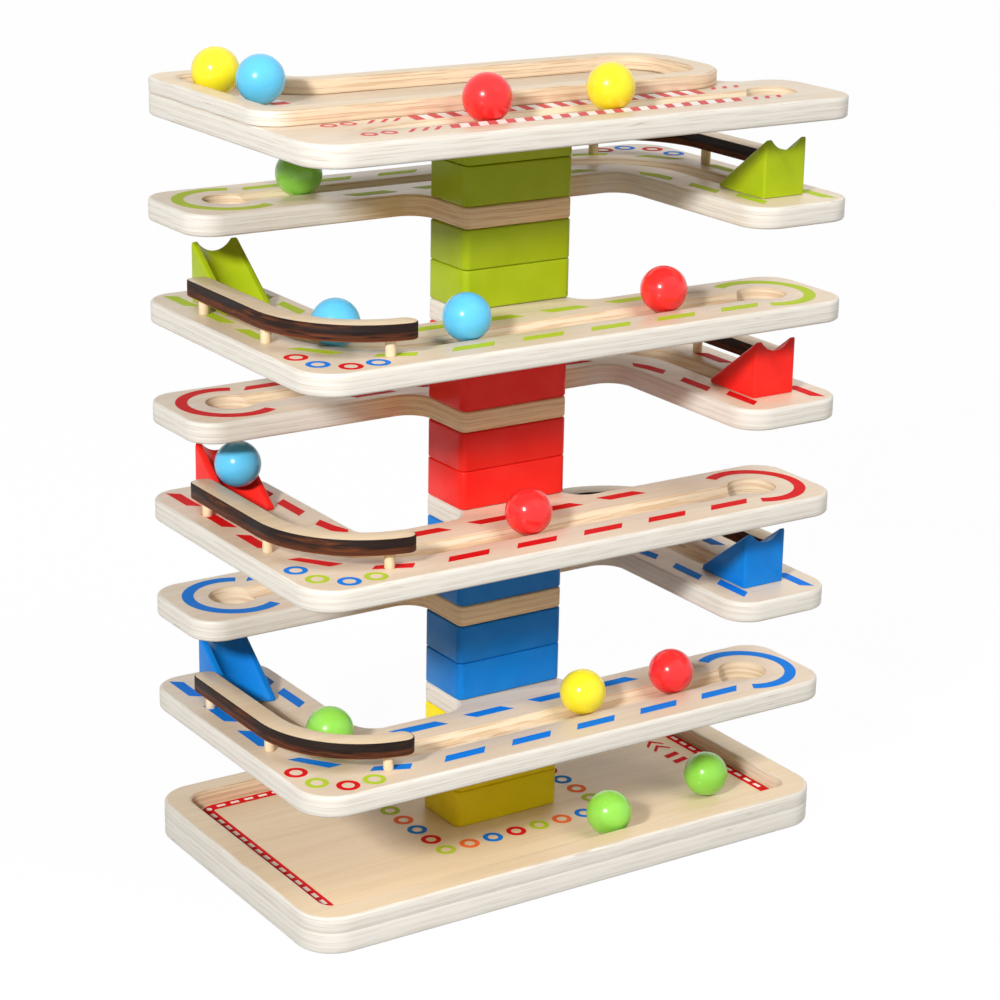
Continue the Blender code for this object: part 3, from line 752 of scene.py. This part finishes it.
def top_groove_cutter():
    """The round bar that cuts the top board's groove, with a sloping run-in."""
    form = bmesh.new()
    clear = BOARD_TOP + GROOVE_RADIUS
    place = Matrix.Translation((TOP_GROOVE_X, RUN_Y, clear)) @ Matrix.Rotation(math.pi / 2, 4, "Y")
    bmesh.ops.create_circle(form, cap_ends=True, segments=TUBE_SIDES, radius=GROOVE_RADIUS, matrix=place)
    end = grow(form, form.faces[:], (TOP_RUN_IN, 0.0, -GROOVE_DEPTH))
    grow(form, end, (HOLE_X - TOP_GROOVE_X - TOP_RUN_IN, 0.0, 0.0))
    return to_mesh("top_groove", form, [MILLED])


def hole_cutter():
    """The bar that drills a drop hole."""
    form = bmesh.new()
    place = Matrix.Translation((HOLE_X, RUN_Y, PLY / 2))
    bmesh.ops.create_cone(form, cap_ends=True, segments=TUBE_SIDES, radius1=HOLE_RADIUS,
                          radius2=HOLE_RADIUS, depth=3 * PLY, matrix=place)
    return to_mesh("drop_hole", form, [MILLED])


def board_mesh(name, corners, low, high, cutters, face, edge, rimmed=False):
    """A plywood board with rounded edges and milled cuts; a rimmed board stays square under its rim."""
    form = plate_form(corners, low, high)
    if rimmed:
        round_rims(form, EDGE_ROUND, below=(low + high) / 2)
        round_rims(form, JOINT_EDGE, FINE_STEPS, above=(low + high) / 2)
    else:
        round_rims(form, EDGE_ROUND)
    mark_faces(form, 0, 1)
    mesh = to_mesh(name, form, [face, edge, MILLED])
    if not cutters:
        return mesh
    mesh = carve(mesh, cutters)
    mesh.name = name
    ease_cuts(mesh, MILLED_EDGE, 2)
    return mesh


def ramp_corners():
    """An L of two arms with a tongue that reaches back under the post."""
    return [
        (-HALF_LENGTH, -HALF_DEPTH, OUTER_CORNER),
        (HALF_LENGTH, -HALF_DEPTH, ARM_CORNER),
        (HALF_LENGTH, INNER_Y, ARM_CORNER),
        (POST_X, INNER_Y, INNER_FILLET),
        (POST_X, POST_Y, POST_CORNER),
        (-POST_X, POST_Y, POST_CORNER),
        (-POST_X, INNER_Y, INNER_FILLET),
        (INNER_X, INNER_Y, INNER_FILLET),
        (INNER_X, HALF_DEPTH, ARM_CORNER),
        (-HALF_LENGTH, HALF_DEPTH, ARM_CORNER),
    ]


def top_corners():
    """The top board: the front arm, and behind it the L of the tray."""
    return [
        (-TOP_HALF, -HALF_DEPTH, OUTER_CORNER),
        (TOP_HALF, -HALF_DEPTH, ARM_CORNER),
        (TOP_HALF, INNER_Y, ARM_CORNER),
        (TRAY_RIGHT_X, INNER_Y, INNER_FILLET),
        (TRAY_RIGHT_X, TRAY_BACK_Y, TRAY_CORNER),
        (INNER_X, TRAY_BACK_Y, INNER_FILLET),
        (INNER_X, HALF_DEPTH, ARM_CORNER),
        (-TOP_HALF, HALF_DEPTH, ARM_CORNER),
    ]


def tray_corners(inset, corner, fillet, hollow):
    """The top tray's L, drawn in from the rim's outside by an inset."""
    left = inset - TOP_HALF
    right = TRAY_RIGHT_X - inset
    front = TRAY_FRONT_Y + inset
    inner_x = INNER_X - inset
    inner_y = TRAY_BACK_Y - inset
    back = HALF_DEPTH - inset
    return [
        (left, front, fillet),
        (right, front, corner),
        (right, inner_y, corner),
        (inner_x, inner_y, hollow),
        (inner_x, back, fillet),
        (left, back, fillet),
    ]


def box_corners(half_x, half_y, radius):
    """A rounded rectangle round the middle."""
    return [
        (-half_x, -half_y, radius),
        (half_x, -half_y, radius),
        (half_x, half_y, radius),
        (-half_x, half_y, radius),
    ]


def rim_mesh(name, outside, inside, low, high):
    """A ring of plywood with rounded edges inside and out."""
    cutter = to_mesh(f"{name}_inside", plate_form(inside, low - PLY, high + PLY), [RIM_EDGE])
    ring = carve(to_mesh(name, plate_form(outside, low, high), [WARM_FACE, RIM_EDGE]), [cutter])
    form = bmesh.new()
    form.from_mesh(ring)
    bmesh.ops.remove_doubles(form, verts=form.verts, dist=TINY)
    round_rims(form, EDGE_ROUND, above=(low + high) / 2)
    round_rims(form, JOINT_EDGE, FINE_STEPS, below=(low + high) / 2)
    mark_faces(form, 0, 1)
    return to_mesh(name, form, [WARM_FACE, RIM_EDGE])


def make_boards():
    """The base, the ramps, the top board and the two rims."""
    base = box_corners(HALF_LENGTH, HALF_DEPTH, OUTER_CORNER)
    # The base's edges take a darker copy of the edge material: painted shade for the lesser light on the
    # base
    mesh = board_mesh("base_board_wood", base, 0.0, BASE_TOP, [], WARM_FACE, BASE_SHADE_EDGE, True)
    add_piece("base_board_wood", mesh, "tower", node="base_board")
    inside = box_corners(HALF_LENGTH - BASE_RIM_WIDTH, HALF_DEPTH - BASE_RIM_WIDTH, BASE_RIM_FILLET)
    mesh = rim_mesh("base_rim_wood", base, inside, PLY, BASE_RIM_TOP)
    add_piece("base_rim_wood", mesh, "tower", node="base_rim")

    hole = hole_cutter()
    ramp = board_mesh("ramp_wood", ramp_corners(), 0.0, BOARD_TOP, [groove_cutter(), hole], FACE, EDGE)
    for level in LEVELS:
        wood = ramp.copy()
        # Even ramps' edges by the post lie in the shade of the boards above, so they get painted shade:
        # warm brown layers
        if level % 2 == 0:
            wood.materials[1] = POST_SHADE_EDGE
        add_piece(f"ramp_{level}_wood", wood, "tower", level_matrix(level), f"ramp_{level}")

    lift = Matrix.Translation((0.0, 0.0, TOP_LEVEL))
    cutters = [top_groove_cutter(), hole]
    mesh = board_mesh("top_board_wood", top_corners(), 0.0, BOARD_TOP, cutters, FACE, EDGE)
    add_piece("top_board_wood", mesh, "tower", lift, "top_board")
    outside = tray_corners(0.0, TRAY_CORNER, ARM_CORNER, INNER_FILLET)
    inside = tray_corners(TOP_RIM_WIDTH, TRAY_CORNER - TOP_RIM_WIDTH, TRAY_FILLET,
                          INNER_FILLET + TOP_RIM_WIDTH)
    mesh = rim_mesh("top_rim_wood", outside, inside, PLY, PLY + TOP_RIM_HEIGHT)
    add_piece("top_rim_wood", mesh, "tower", lift, "top_rim")


def make_blocks():
    """The post's painted blocks, each in the place of its solid."""
    for colour, count in BLOCK_COUNTS:
        for number in range(1, count + 1):
            node = f"block_{colour}_{number}"
            low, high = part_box(node)
            form = plate_form(box_corners(POST_X, POST_Y, POST_CORNER), low.z, high.z)
            round_rims(form, BLOCK_EDGE, BLOCK_STEPS)
            mesh = to_mesh(f"{node}_paint", form, [PAINT[colour]])
            add_piece(f"{node}_paint", mesh, "tower", node=node)


def wedge_mesh():
    """A wedge with a hollowed channel, in its ramp's frame, still without its paint."""
    form = bmesh.new()
    profile = [
        (WEDGE_TOE_Y, PLY),
        (WEDGE_HEEL_Y, PLY),
        (WEDGE_HEEL_Y, PLY + WEDGE_HEIGHT),
        (WEDGE_TOE_Y, PLY + WEDGE_TOE),
    ]
    left = ARM_X - WEDGE_WIDTH / 2
    form.faces.new([form.verts.new((left, y, z)) for y, z in profile])
    grow(form, form.faces[:], (WEDGE_WIDTH, 0.0, 0.0))
    bmesh.ops.recalc_face_normals(form, faces=form.faces)
    edges = [edge for edge in form.edges if max(vert.co.z for vert in edge.verts) > PLY + TINY]
    round_edges(form, edges, WEDGE_EDGE, EDGE_STEPS)
    body = to_mesh("wedge", form, [PAINT["red"], MILLED])

    along = Vector((0.0, math.cos(SLOPE), math.sin(SLOPE)))
    out = Vector((0.0, -math.sin(SLOPE), math.cos(SLOPE)))
    middle = Vector((ARM_X, (WEDGE_TOE_Y + WEDGE_HEEL_Y) / 2, PLY + (WEDGE_TOE + WEDGE_HEIGHT) / 2))
    middle += out * (CHANNEL_RADIUS - CHANNEL_DEPTH)
    turn = Vector((0.0, 0.0, 1.0)).rotation_difference(along).to_matrix().to_4x4()
    channel = bmesh.new()
    bmesh.ops.create_cone(channel, cap_ends=True, segments=TUBE_SIDES, radius1=CHANNEL_RADIUS,
                          radius2=CHANNEL_RADIUS, depth=CHANNEL_LENGTH,
                          matrix=Matrix.Translation(middle) @ turn)
    mesh = carve(body, [to_mesh("channel", channel, [MILLED])])
    ease_cuts(mesh, CHANNEL_EDGE, 1, CHANNEL_STEPS, PLY + TINY)
    mesh.materials.clear()
    for polygon in mesh.polygons:
        polygon.material_index = 0
    return mesh


def rail_mesh():
    """A bent strip of plywood, laser-cut with burnt edges, in its ramp's frame."""
    form = bmesh.new()
    section = (
        (RAIL_X - RAIL_WIDTH / 2, RAIL_BOTTOM),
        (RAIL_X + RAIL_WIDTH / 2, RAIL_BOTTOM),
        (RAIL_X + RAIL_WIDTH / 2, RAIL_BOTTOM + RAIL_PLY),
        (RAIL_X - RAIL_WIDTH / 2, RAIL_BOTTOM + RAIL_PLY),
    )
    start = form.faces.new([form.verts.new((x, RAIL_BACK_Y, z)) for x, z in section])
    ends = list(start.verts)
    end = grow(form, [start], (0.0, RAIL_BEND_Y - RAIL_BACK_Y, 0.0))
    end = swing(form, end, (RAIL_BEND_X, RAIL_BEND_Y, 0.0), RAIL_SWEEP, BEND_STEPS)
    ahead = Vector((math.sin(RAIL_SWEEP), -math.cos(RAIL_SWEEP), 0.0))
    end = grow(form, end, ahead * RAIL_WIDTH / 2)
    ends += list(end[0].verts)
    bmesh.ops.recalc_face_normals(form, faces=form.faces)
    edges = [edge for edge in form.edges if is_upright(edge) and edge.verts[0] in ends]
    round_edges(form, edges, RAIL_CORNER, CORNER_STEPS)
    round_rims(form, RAIL_EDGE, FINE_STEPS)
    mark_faces(form, 0, 1)
    return to_mesh("rail", form, [WARM_FACE, CHARRED])


def peg_places():
    """Where a rail's pegs stand."""
    angle = math.pi + PEG_SWEEP
    return [
        (RAIL_X, RAIL_BACK_Y - PEG_SETBACK),
        (RAIL_X, RAIL_BEND_Y),
        (RAIL_BEND_X + RAIL_BEND * math.cos(angle), RAIL_BEND_Y + RAIL_BEND * math.sin(angle)),
    ]


def peg_mesh():
    """A rail's three turned pegs, with broken edges, in its ramp's frame."""
    form = bmesh.new()
    for x, y in peg_places():
        place = Matrix.Translation((x, y, (BOARD_TOP + RAIL_BOTTOM) / 2))
        bmesh.ops.create_cone(form, cap_ends=True, segments=PEG_SIDES, radius1=PEG_RADIUS,
                              radius2=PEG_RADIUS, depth=RAIL_BOTTOM - BOARD_TOP, matrix=place)
    round_rims(form, PEG_CHAMFER, FINE_STEPS)
    return to_mesh("pegs", form, [PEG_WOOD])


def make_ramp_parts():
    """The wedge, guard rail and pegs of every ramp."""
    wedge = wedge_mesh()
    rail = rail_mesh()
    pegs = peg_mesh()
    for level in LEVELS:
        matrix = level_matrix(level)
        colour = LEVEL_COLOUR[level]
        mesh = wedge.copy()
        mesh.materials.append(PAINT[colour])
        add_piece(f"wedge_{level}_paint", mesh, "tower", matrix, f"wedge_{level}")
        add_piece(f"rail_{level}_wood", rail.copy(), "tower", matrix, f"rail_{level}")
        add_piece(f"pegs_{level}", pegs.copy(), "tower", matrix)


def make_balls():
    """The lacquered balls, each with the tiny mark its holding pin left underneath."""
    for node, colour in BALLS:
        low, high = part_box(node)
        middle = (low + high) / 2
        form = bmesh.new()
        bmesh.ops.create_uvsphere(form, u_segments=BALL_SIDES, v_segments=BALL_RINGS, radius=BALL_RADIUS)
        pole = min(form.verts, key=lambda vert: vert.co.z)
        pole.co.z += DIMPLE
        bmesh.ops.translate(form, verts=form.verts, vec=middle)
        mesh = to_mesh(f"{node}_lacquer", form, [LACQUER[colour]])
        add_piece(f"{node}_lacquer", mesh, node, node=node)


def raise_film(form):
    """Join flat printed shapes where they meet and give them the thickness of their ink."""
    bmesh.ops.remove_doubles(form, verts=form.verts, dist=TINY)
    grow(form, form.faces[:], (0.0, 0.0, PRINT_FILM))


def print_patch(form, points):
    """A printed patch with straight sides."""
    form.faces.new([form.verts.new((x, y, 0.0)) for x, y in points])


def print_dash(form, middle, along, side):
    """A slanted dash: its long way runs along, and the side next to the groove leads."""
    along = Vector(along).normalized()
    across = Vector((-along.y, along.x)) * side
    middle = Vector(middle)
    half = along * DASH_LENGTH / 2
    lead = along * DASH_SLANT / 2
    near = across * DASH_WIDTH / 2
    corners = (middle - half - lead - near, middle + half - lead - near,
               middle + half + lead + near, middle - half + lead + near)
    print_patch(form, [(corner.x, corner.y) for corner in corners])


def print_dot(form, middle, radius, sides=DOT_SIDES):
    """A printed dot, given back as a face."""
    made = bmesh.ops.create_circle(form, cap_ends=True, segments=sides, radius=radius,
                                   matrix=Matrix.Translation((middle[0], middle[1], 0.0)))
    return made["verts"][0].link_faces[0]


def print_ring(form, middle, radius=RING_RADIUS, line=RING_LINE):
    """A printed ring."""
    disc = print_dot(form, middle, radius, RING_SIDES)
    bmesh.ops.inset_region(form, faces=[disc], use_boundary=True, thickness=line, use_even_offset=True)
    bmesh.ops.delete(form, geom=[disc], context="FACES")


def print_arc(form, middle, inner, outer, start, turn):
    """A printed band round part of a circle."""
    centre = Vector((middle[0], middle[1], 0.0))
    ray = Vector((math.cos(start), math.sin(start), 0.0))
    edge = form.edges.new((form.verts.new(centre + ray * inner), form.verts.new(centre + ray * outer)))
    bmesh.ops.spin(form, geom=[edge, *edge.verts], cent=centre, axis=(0.0, 0.0, 1.0), angle=turn,
                   steps=BAND_STEPS, use_merge=False, use_duplicate=False)


def add_print(name, form, ink, matrix, height=BOARD_TOP):
    """Put a board's printed marks of one colour on it."""
    raise_film(form)
    lift = Matrix.Translation((0.0, 0.0, height + PRINT_LIFT))
    add_piece(name, to_mesh(name, form, [INK[ink]]), "tower", matrix @ lift)


def ramp_dashes(level):
    """A ramp's dashes along both sides of the groove, and the band round its drop hole."""
    form = bmesh.new()
    for step in NEAR_DASHES:
        print_dash(form, (ROW_START_X + step * DASH_PITCH, NEAR_ROW_Y), (1.0, 0.0), 1)
    for step in FAR_DASHES:
        print_dash(form, (ROW_START_X + step * DASH_PITCH, FAR_ROW_Y), (1.0, 0.0), -1)
    for y in ARM_DASHES_Y:
        print_dash(form, (ARM_DASH_X, y), (0.0, -1.0), 1)
    wedge_dashes = EVEN_WEDGE_DASHES if level % 2 == 0 else ODD_WEDGE_DASHES
    for place in wedge_dashes:
        print_dash(form, place, (0.0, -1.0), -1)
    for points in BEND_DASHES:
        print_patch(form, points)
    print_arc(form, (ARC_X + ARC_SHIFT[level], RUN_Y), ARC_INNER, ARC_OUTER, ARC_START, ARC_TURN)
    return form


def make_ramp_prints():
    """Every ramp's printed marks."""
    for level in LEVELS:
        matrix = level_matrix(level) @ Matrix.Translation((PRINT_SHIFT[level], 0.0, 0.0))
        colour = LEVEL_COLOUR[level]
        ink = "lime" if colour == "green" else colour
        add_print(f"dashes_{level}", ramp_dashes(level), ink, matrix)
        for offset, ring_ink in enumerate(RING_INK[level]):
            rings = bmesh.new()
            for place in CORNER_RINGS[offset::2]:
                print_ring(rings, place)
            add_print(f"rings_{level}_{ring_ink}", rings, ring_ink, matrix)


def foot_rings():
    """The rings round the post's foot, each with its ink: the front row, then each side going back."""
    rings = [(ink, (FOOT_ROW_X + step * FOOT_ROW_PITCH, FOOT_ROW_Y)) for step, ink in enumerate(FOOT_ROW)]
    for x, inks in FOOT_SIDES:
        rings += [(ink, (x, FOOT_SIDE_Y + step * FOOT_SIDE_PITCH)) for step, ink in enumerate(inks)]
    return rings


def print_box(form, left, right, low, high):
    """A printed rectangle."""
    print_patch(form, [(left, low), (right, low), (right, high), (left, high)])


def print_border(border, dashes):
    """The base's border on three sides, with its pale dashes and a dot in each back corner."""
    for side, x, front in BORDER_SIDES:
        bend_x = x - side * (BORDER_WIDTH / 2 + BORDER_BEND)
        print_box(border, x - BORDER_WIDTH / 2, x + BORDER_WIDTH / 2, front, BORDER_TURN_Y)
        print_arc(border, (bend_x, BORDER_TURN_Y), BORDER_BEND, BORDER_BEND + BORDER_WIDTH,
                  math.pi / 2 if side < 0 else 0.0, math.pi / 2)
        y = BORDER_TURN_Y - BORDER_DASH / 2
        while y - BORDER_DASH > front:
            print_box(dashes, x - BORDER_LINE / 2, x + BORDER_LINE / 2, y - BORDER_DASH, y)
            y -= BORDER_PITCH
        print_dot(dashes, (bend_x + side * BORDER_DOT_OUT, BORDER_TURN_Y + BORDER_DOT_OUT), BORDER_DOT)
    low = BORDER_TURN_Y + BORDER_BEND
    high = low + BORDER_WIDTH
    inset = (BORDER_WIDTH - BORDER_LINE) / 2
    print_box(border, BORDER_LEFT, BORDER_RIGHT, low, high)
    for step in range(BORDER_DASHES):
        x = BORDER_DASH_X + step * BORDER_PITCH
        print_box(dashes, x, x + BORDER_DASH, low + inset, high - inset)


def make_base_prints():
    """The base's rings, its red border with pale dashes, and the arrow marks."""
    matrix = Matrix()
    for ink, slot in INK_SLOT.items():
        form = bmesh.new()
        for colour, place in foot_rings():
            if colour == ink:
                print_ring(form, place, FOOT_RING_RADIUS)
        add_print(f"base_rings_{ink}", form, ink, matrix, BASE_TOP)

    border = bmesh.new()
    dashes = bmesh.new()
    print_border(border, dashes)
    for points, shifts in ((CHEVRON, CHEVRON_SHIFTS), (BAR, BAR_SHIFTS)):
        for shift in shifts:
            print_patch(border, [(x, y + shift) for x, y in points])
    add_print("base_border", border, "red", matrix, BASE_TOP)
    add_print("base_border_dashes", dashes, "white", matrix, BASE_TOP + PRINT_FILM)


def print_slant(form, x, low, high, width, lean):
    """A printed stripe from one height of the board's plan to another, leaning sideways."""
    print_patch(form, [(x, low), (x + width, low), (x + width + lean, high), (x + lean, high)])


def make_top_prints():
    """The top board's striped rows, ticks, rings and slanted strokes, and the tray's own mark."""
    matrix = Matrix.Translation((0.0, 0.0, TOP_LEVEL))
    red = bmesh.new()
    pale = bmesh.new()
    for start, low, high, step, lean in STRIPE_ROWS:
        for number in range(STRIPES):
            form = pale if number % 2 else red
            print_slant(form, start + number * step, low, high, step, lean)
    for low, high, shift in TICK_ROWS:
        for x in TICKS_X:
            print_slant(red, x + shift, low, high, TICK_WIDTH, TICK_LEAN)
    for y, shift in TOP_RING_ROWS:
        for x in TOP_RINGS_X:
            print_ring(red, (x + shift, y), TOP_RING_RADIUS, TOP_RING_LINE)
        for x in STROKES_X:
            print_slant(red, x + shift, y - STROKE_REACH, y + STROKE_REACH, STROKE_WIDTH, STROKE_LEAN)
    for number in range(TRAY_MARKS):
        form = pale if number % 2 else red
        low = TRAY_MARK_Y - number * TRAY_MARK_PITCH
        print_slant(form, TRAY_MARK_X, low, low + TRAY_MARK_PITCH, TRAY_MARK_WIDTH, 0.0)
    # The red marks take the paler ink, which carries a painted sheen
    add_print("top_marks_red", red, "sheened", matrix)
    add_print("top_marks_pale", pale, "white", matrix)


def dress_hidden():
    """Give the dowels that stay from the model their wood."""
    for item in bpy.data.objects:
        if item.type == "MESH" and item.name.startswith("dowel_"):
            for place in item.material_slots:
                place.material = PEG_WOOD


def seen_rays(tree):
    """1 for the rays that show the backdrop: from the camera, in gloss and through glass."""
    path = tree.nodes.new("ShaderNodeLightPath")
    mirrored = calc(tree, "MAXIMUM", path.outputs["Is Glossy Ray"], path.outputs["Is Transmission Ray"])
    return calc(tree, "MAXIMUM", path.outputs["Is Camera Ray"], mirrored)


def make_floor():
    """A plain white floor that keeps the toy's shadow."""
    form = bmesh.new()
    bmesh.ops.create_grid(form, x_segments=1, y_segments=1, size=FLOOR_SIZE)
    floor = bpy.data.materials.new("floor")
    floor.use_nodes = True
    tree = floor.node_tree
    surface = tree.nodes["Principled BSDF"]
    seen = seen_rays(tree)
    colour = mix(tree, seen, FLOOR_SIDE, FLOOR_SEEN)
    feed(tree, surface, {"Base Color": colour, "Roughness": 0.9, "Specular IOR Level": 0.0})
    glow = tree.nodes.new("ShaderNodeEmission")
    feed(tree, glow, {"Strength": 1.0})
    blend = tree.nodes.new("ShaderNodeMixShader")
    put(tree, blend.inputs["Fac"], spread(tree, seen, 0.0, 1.0, 0.0, FLOOR_GLOW))
    put(tree, blend.inputs[1], surface.outputs["BSDF"])
    put(tree, blend.inputs[2], glow.outputs["Emission"])
    put(tree, tree.nodes["Material Output"].inputs["Surface"], blend.outputs["Shader"])
    ground = add_object("floor", to_mesh("floor", form, [floor]))
    ground.location.z = -FLOOR_DROP


def make_light():
    """A white backdrop, a key lamp from the left and two soft lamps for the shaded sides."""
    world = bpy.data.worlds.new("studio")
    world.use_nodes = True
    tree = world.node_tree
    strength = spread(tree, seen_rays(tree), 0.0, 1.0, WORLD, 1.0)
    feed(tree, tree.nodes["Background"], {"Color": (1.0, 1.0, 1.0, 1.0), "Strength": strength})
    bpy.context.scene.world = world

    lamp = bpy.data.lights.new("key", "AREA")
    lamp.energy = KEY_POWER
    lamp.size = KEY_SIZE
    key = add_object("key", lamp)
    key.location = KEY_PLACE
    key.rotation_euler = (KEY_PLACE - KEY_AIM).to_track_quat("Z", "Y").to_euler()
    for name, strength, direction in SOFT_LAMPS:
        lamp = bpy.data.lights.new(name, "SUN")
        lamp.energy = strength
        lamp.angle = SOFT_ANGLE
        soft = add_object(name, lamp)
        soft.rotation_euler = direction.to_track_quat("Z", "Y").to_euler()
        soft.visible_glossy = False


def make_camera():
    """The camera, in front of the toy, to its left and a little above."""
    reach = math.cos(CAMERA_RISE)
    back = Vector((math.sin(CAMERA_TURN) * reach, -math.cos(CAMERA_TURN) * reach, math.sin(CAMERA_RISE)))
    right = Vector((math.cos(CAMERA_TURN), math.sin(CAMERA_TURN), 0.0))
    up = back.cross(right)
    level = right * math.cos(CAMERA_ROLL) + up * math.sin(CAMERA_ROLL)
    upright = up * math.cos(CAMERA_ROLL) - right * math.sin(CAMERA_ROLL)
    matrix = Matrix((level, upright, back)).transposed().to_4x4()
    matrix.translation = CAMERA_PLACE
    lens = bpy.data.cameras.new("camera")
    lens.lens = CAMERA_LENS
    lens.sensor_width = CAMERA_SENSOR
    lens.clip_start = CAMERA_NEAREST
    eye = add_object("camera", lens)
    eye.matrix_world = matrix
    bpy.context.scene.camera = eye
    bpy.context.scene.view_settings.view_transform = "Standard"


GRAIN = grain_group()
LAYERS = layer_group()
COAT = coat_group()
FACE = wood_material("plywood face", shade(228, 211, 188), shade(219, 198, 172), shade(182, 150, 120))
WARM_FACE = wood_material("warm plywood face", shade(230, 209, 177), shade(221, 196, 160),
                          shade(182, 148, 110))
EDGE_TONES = (shade(233, 227, 216), shade(222, 213, 200), shade(204, 191, 174))
# A darker copy of the edge tones for the base: painted shade for the lesser light that reaches it
BASE_SHADE_TONES = (shade(229, 223, 213), shade(219, 212, 201), shade(203, 192, 177))
MILLED_TONES = (shade(231, 212, 183), shade(216, 185, 148), shade(192, 154, 115))
# Warm brown tones by the post: painted shade for the edges that the boards above shade
POST_SHADE_TONES = (shade(252, 222, 178), shade(222, 178, 130))
RIM_TONES = (shade(229, 207, 177), shade(196, 158, 120))
EDGE_VOID = shade(186, 166, 144)
# The base's voids are darker as well: painted shade
BASE_SHADE_VOID = shade(178, 160, 140)
MILLED_VOID = shade(150, 112, 78)
EDGE = layered_material("plywood edge", EDGE_TONES, EDGE_VOID, EDGE_ROUGH)
# The edge by the post, turned to painted shade where the mask says
POST_SHADE_EDGE = layered_material("plywood edge with painted shade by the post", EDGE_TONES, EDGE_VOID, EDGE_ROUGH, "PostShade",
                             POST_SHADE_TONES)
RIM_EDGE = layered_material("rim edge", EDGE_TONES, EDGE_VOID, EDGE_ROUGH, "Inner", RIM_TONES)
# The base's edge: the plain edge darkened all over, as painted shade
BASE_SHADE_EDGE = layered_material("base edge with painted shade", BASE_SHADE_TONES, BASE_SHADE_VOID, EDGE_ROUGH)
MILLED = layered_material("milled plywood", MILLED_TONES, MILLED_VOID, MILLED_ROUGH)
SOOT = shade(34, 23, 19)
DEEP_SOOT = shade(16, 10, 9)
SCORCH = shade(138, 74, 42)
CHARRED = charred_material("charred edge")
PEG_WOOD = wood_material("peg wood", shade(244, 226, 192), shade(228, 202, 162), shade(178, 142, 102),
                         (0.0, math.pi / 2, 0.0))
PAINT = {
    "yellow": coated_material("yellow enamel", shade(250, 232, 20), shade(244, 220, 12), ENAMEL),
    "blue": coated_material("blue enamel", shade(8, 130, 218), shade(4, 116, 206), ENAMEL),
    "red": coated_material("red enamel", shade(252, 44, 34), shade(242, 30, 24), ENAMEL),
    "green": coated_material("green enamel", shade(172, 192, 24), shade(158, 180, 16), ENAMEL),
}
LACQUER = {
    "yellow": coated_material("yellow ball lacquer", shade(249, 231, 40), shade(245, 222, 24), GLOSS),
    "sky": coated_material("sky ball lacquer", shade(98, 200, 244), shade(84, 190, 238), GLOSS),
    "red": coated_material("red ball lacquer", shade(248, 46, 46), shade(238, 32, 34), GLOSS),
    "green": coated_material("green ball lacquer", shade(148, 220, 82), shade(134, 208, 66), GLOSS),
}
INK = {
    "blue": ink_material("blue ink", shade(14, 120, 222), shade(52, 140, 216)),
    "red": ink_material("red ink", shade(212, 16, 22), shade(216, 62, 58)),
    # Paler, pinker red for the top board's print: painted sheen of the gloss seen at a grazing angle,
    # over the red ink
    "sheened": ink_material("faded red ink", shade(214, 88, 90), shade(222, 138, 130)),
    "lime": ink_material("lime ink", shade(176, 200, 44), shade(194, 206, 96)),
    "orange": ink_material("orange ink", shade(240, 106, 46), shade(236, 142, 94)),
    "white": ink_material("white ink", shade(246, 240, 234), shade(238, 224, 208)),
}

make_boards()
make_blocks()
make_ramp_parts()
make_balls()
make_ramp_prints()
make_base_prints()
make_top_prints()
dress_hidden()
make_floor()
make_light()
make_camera()
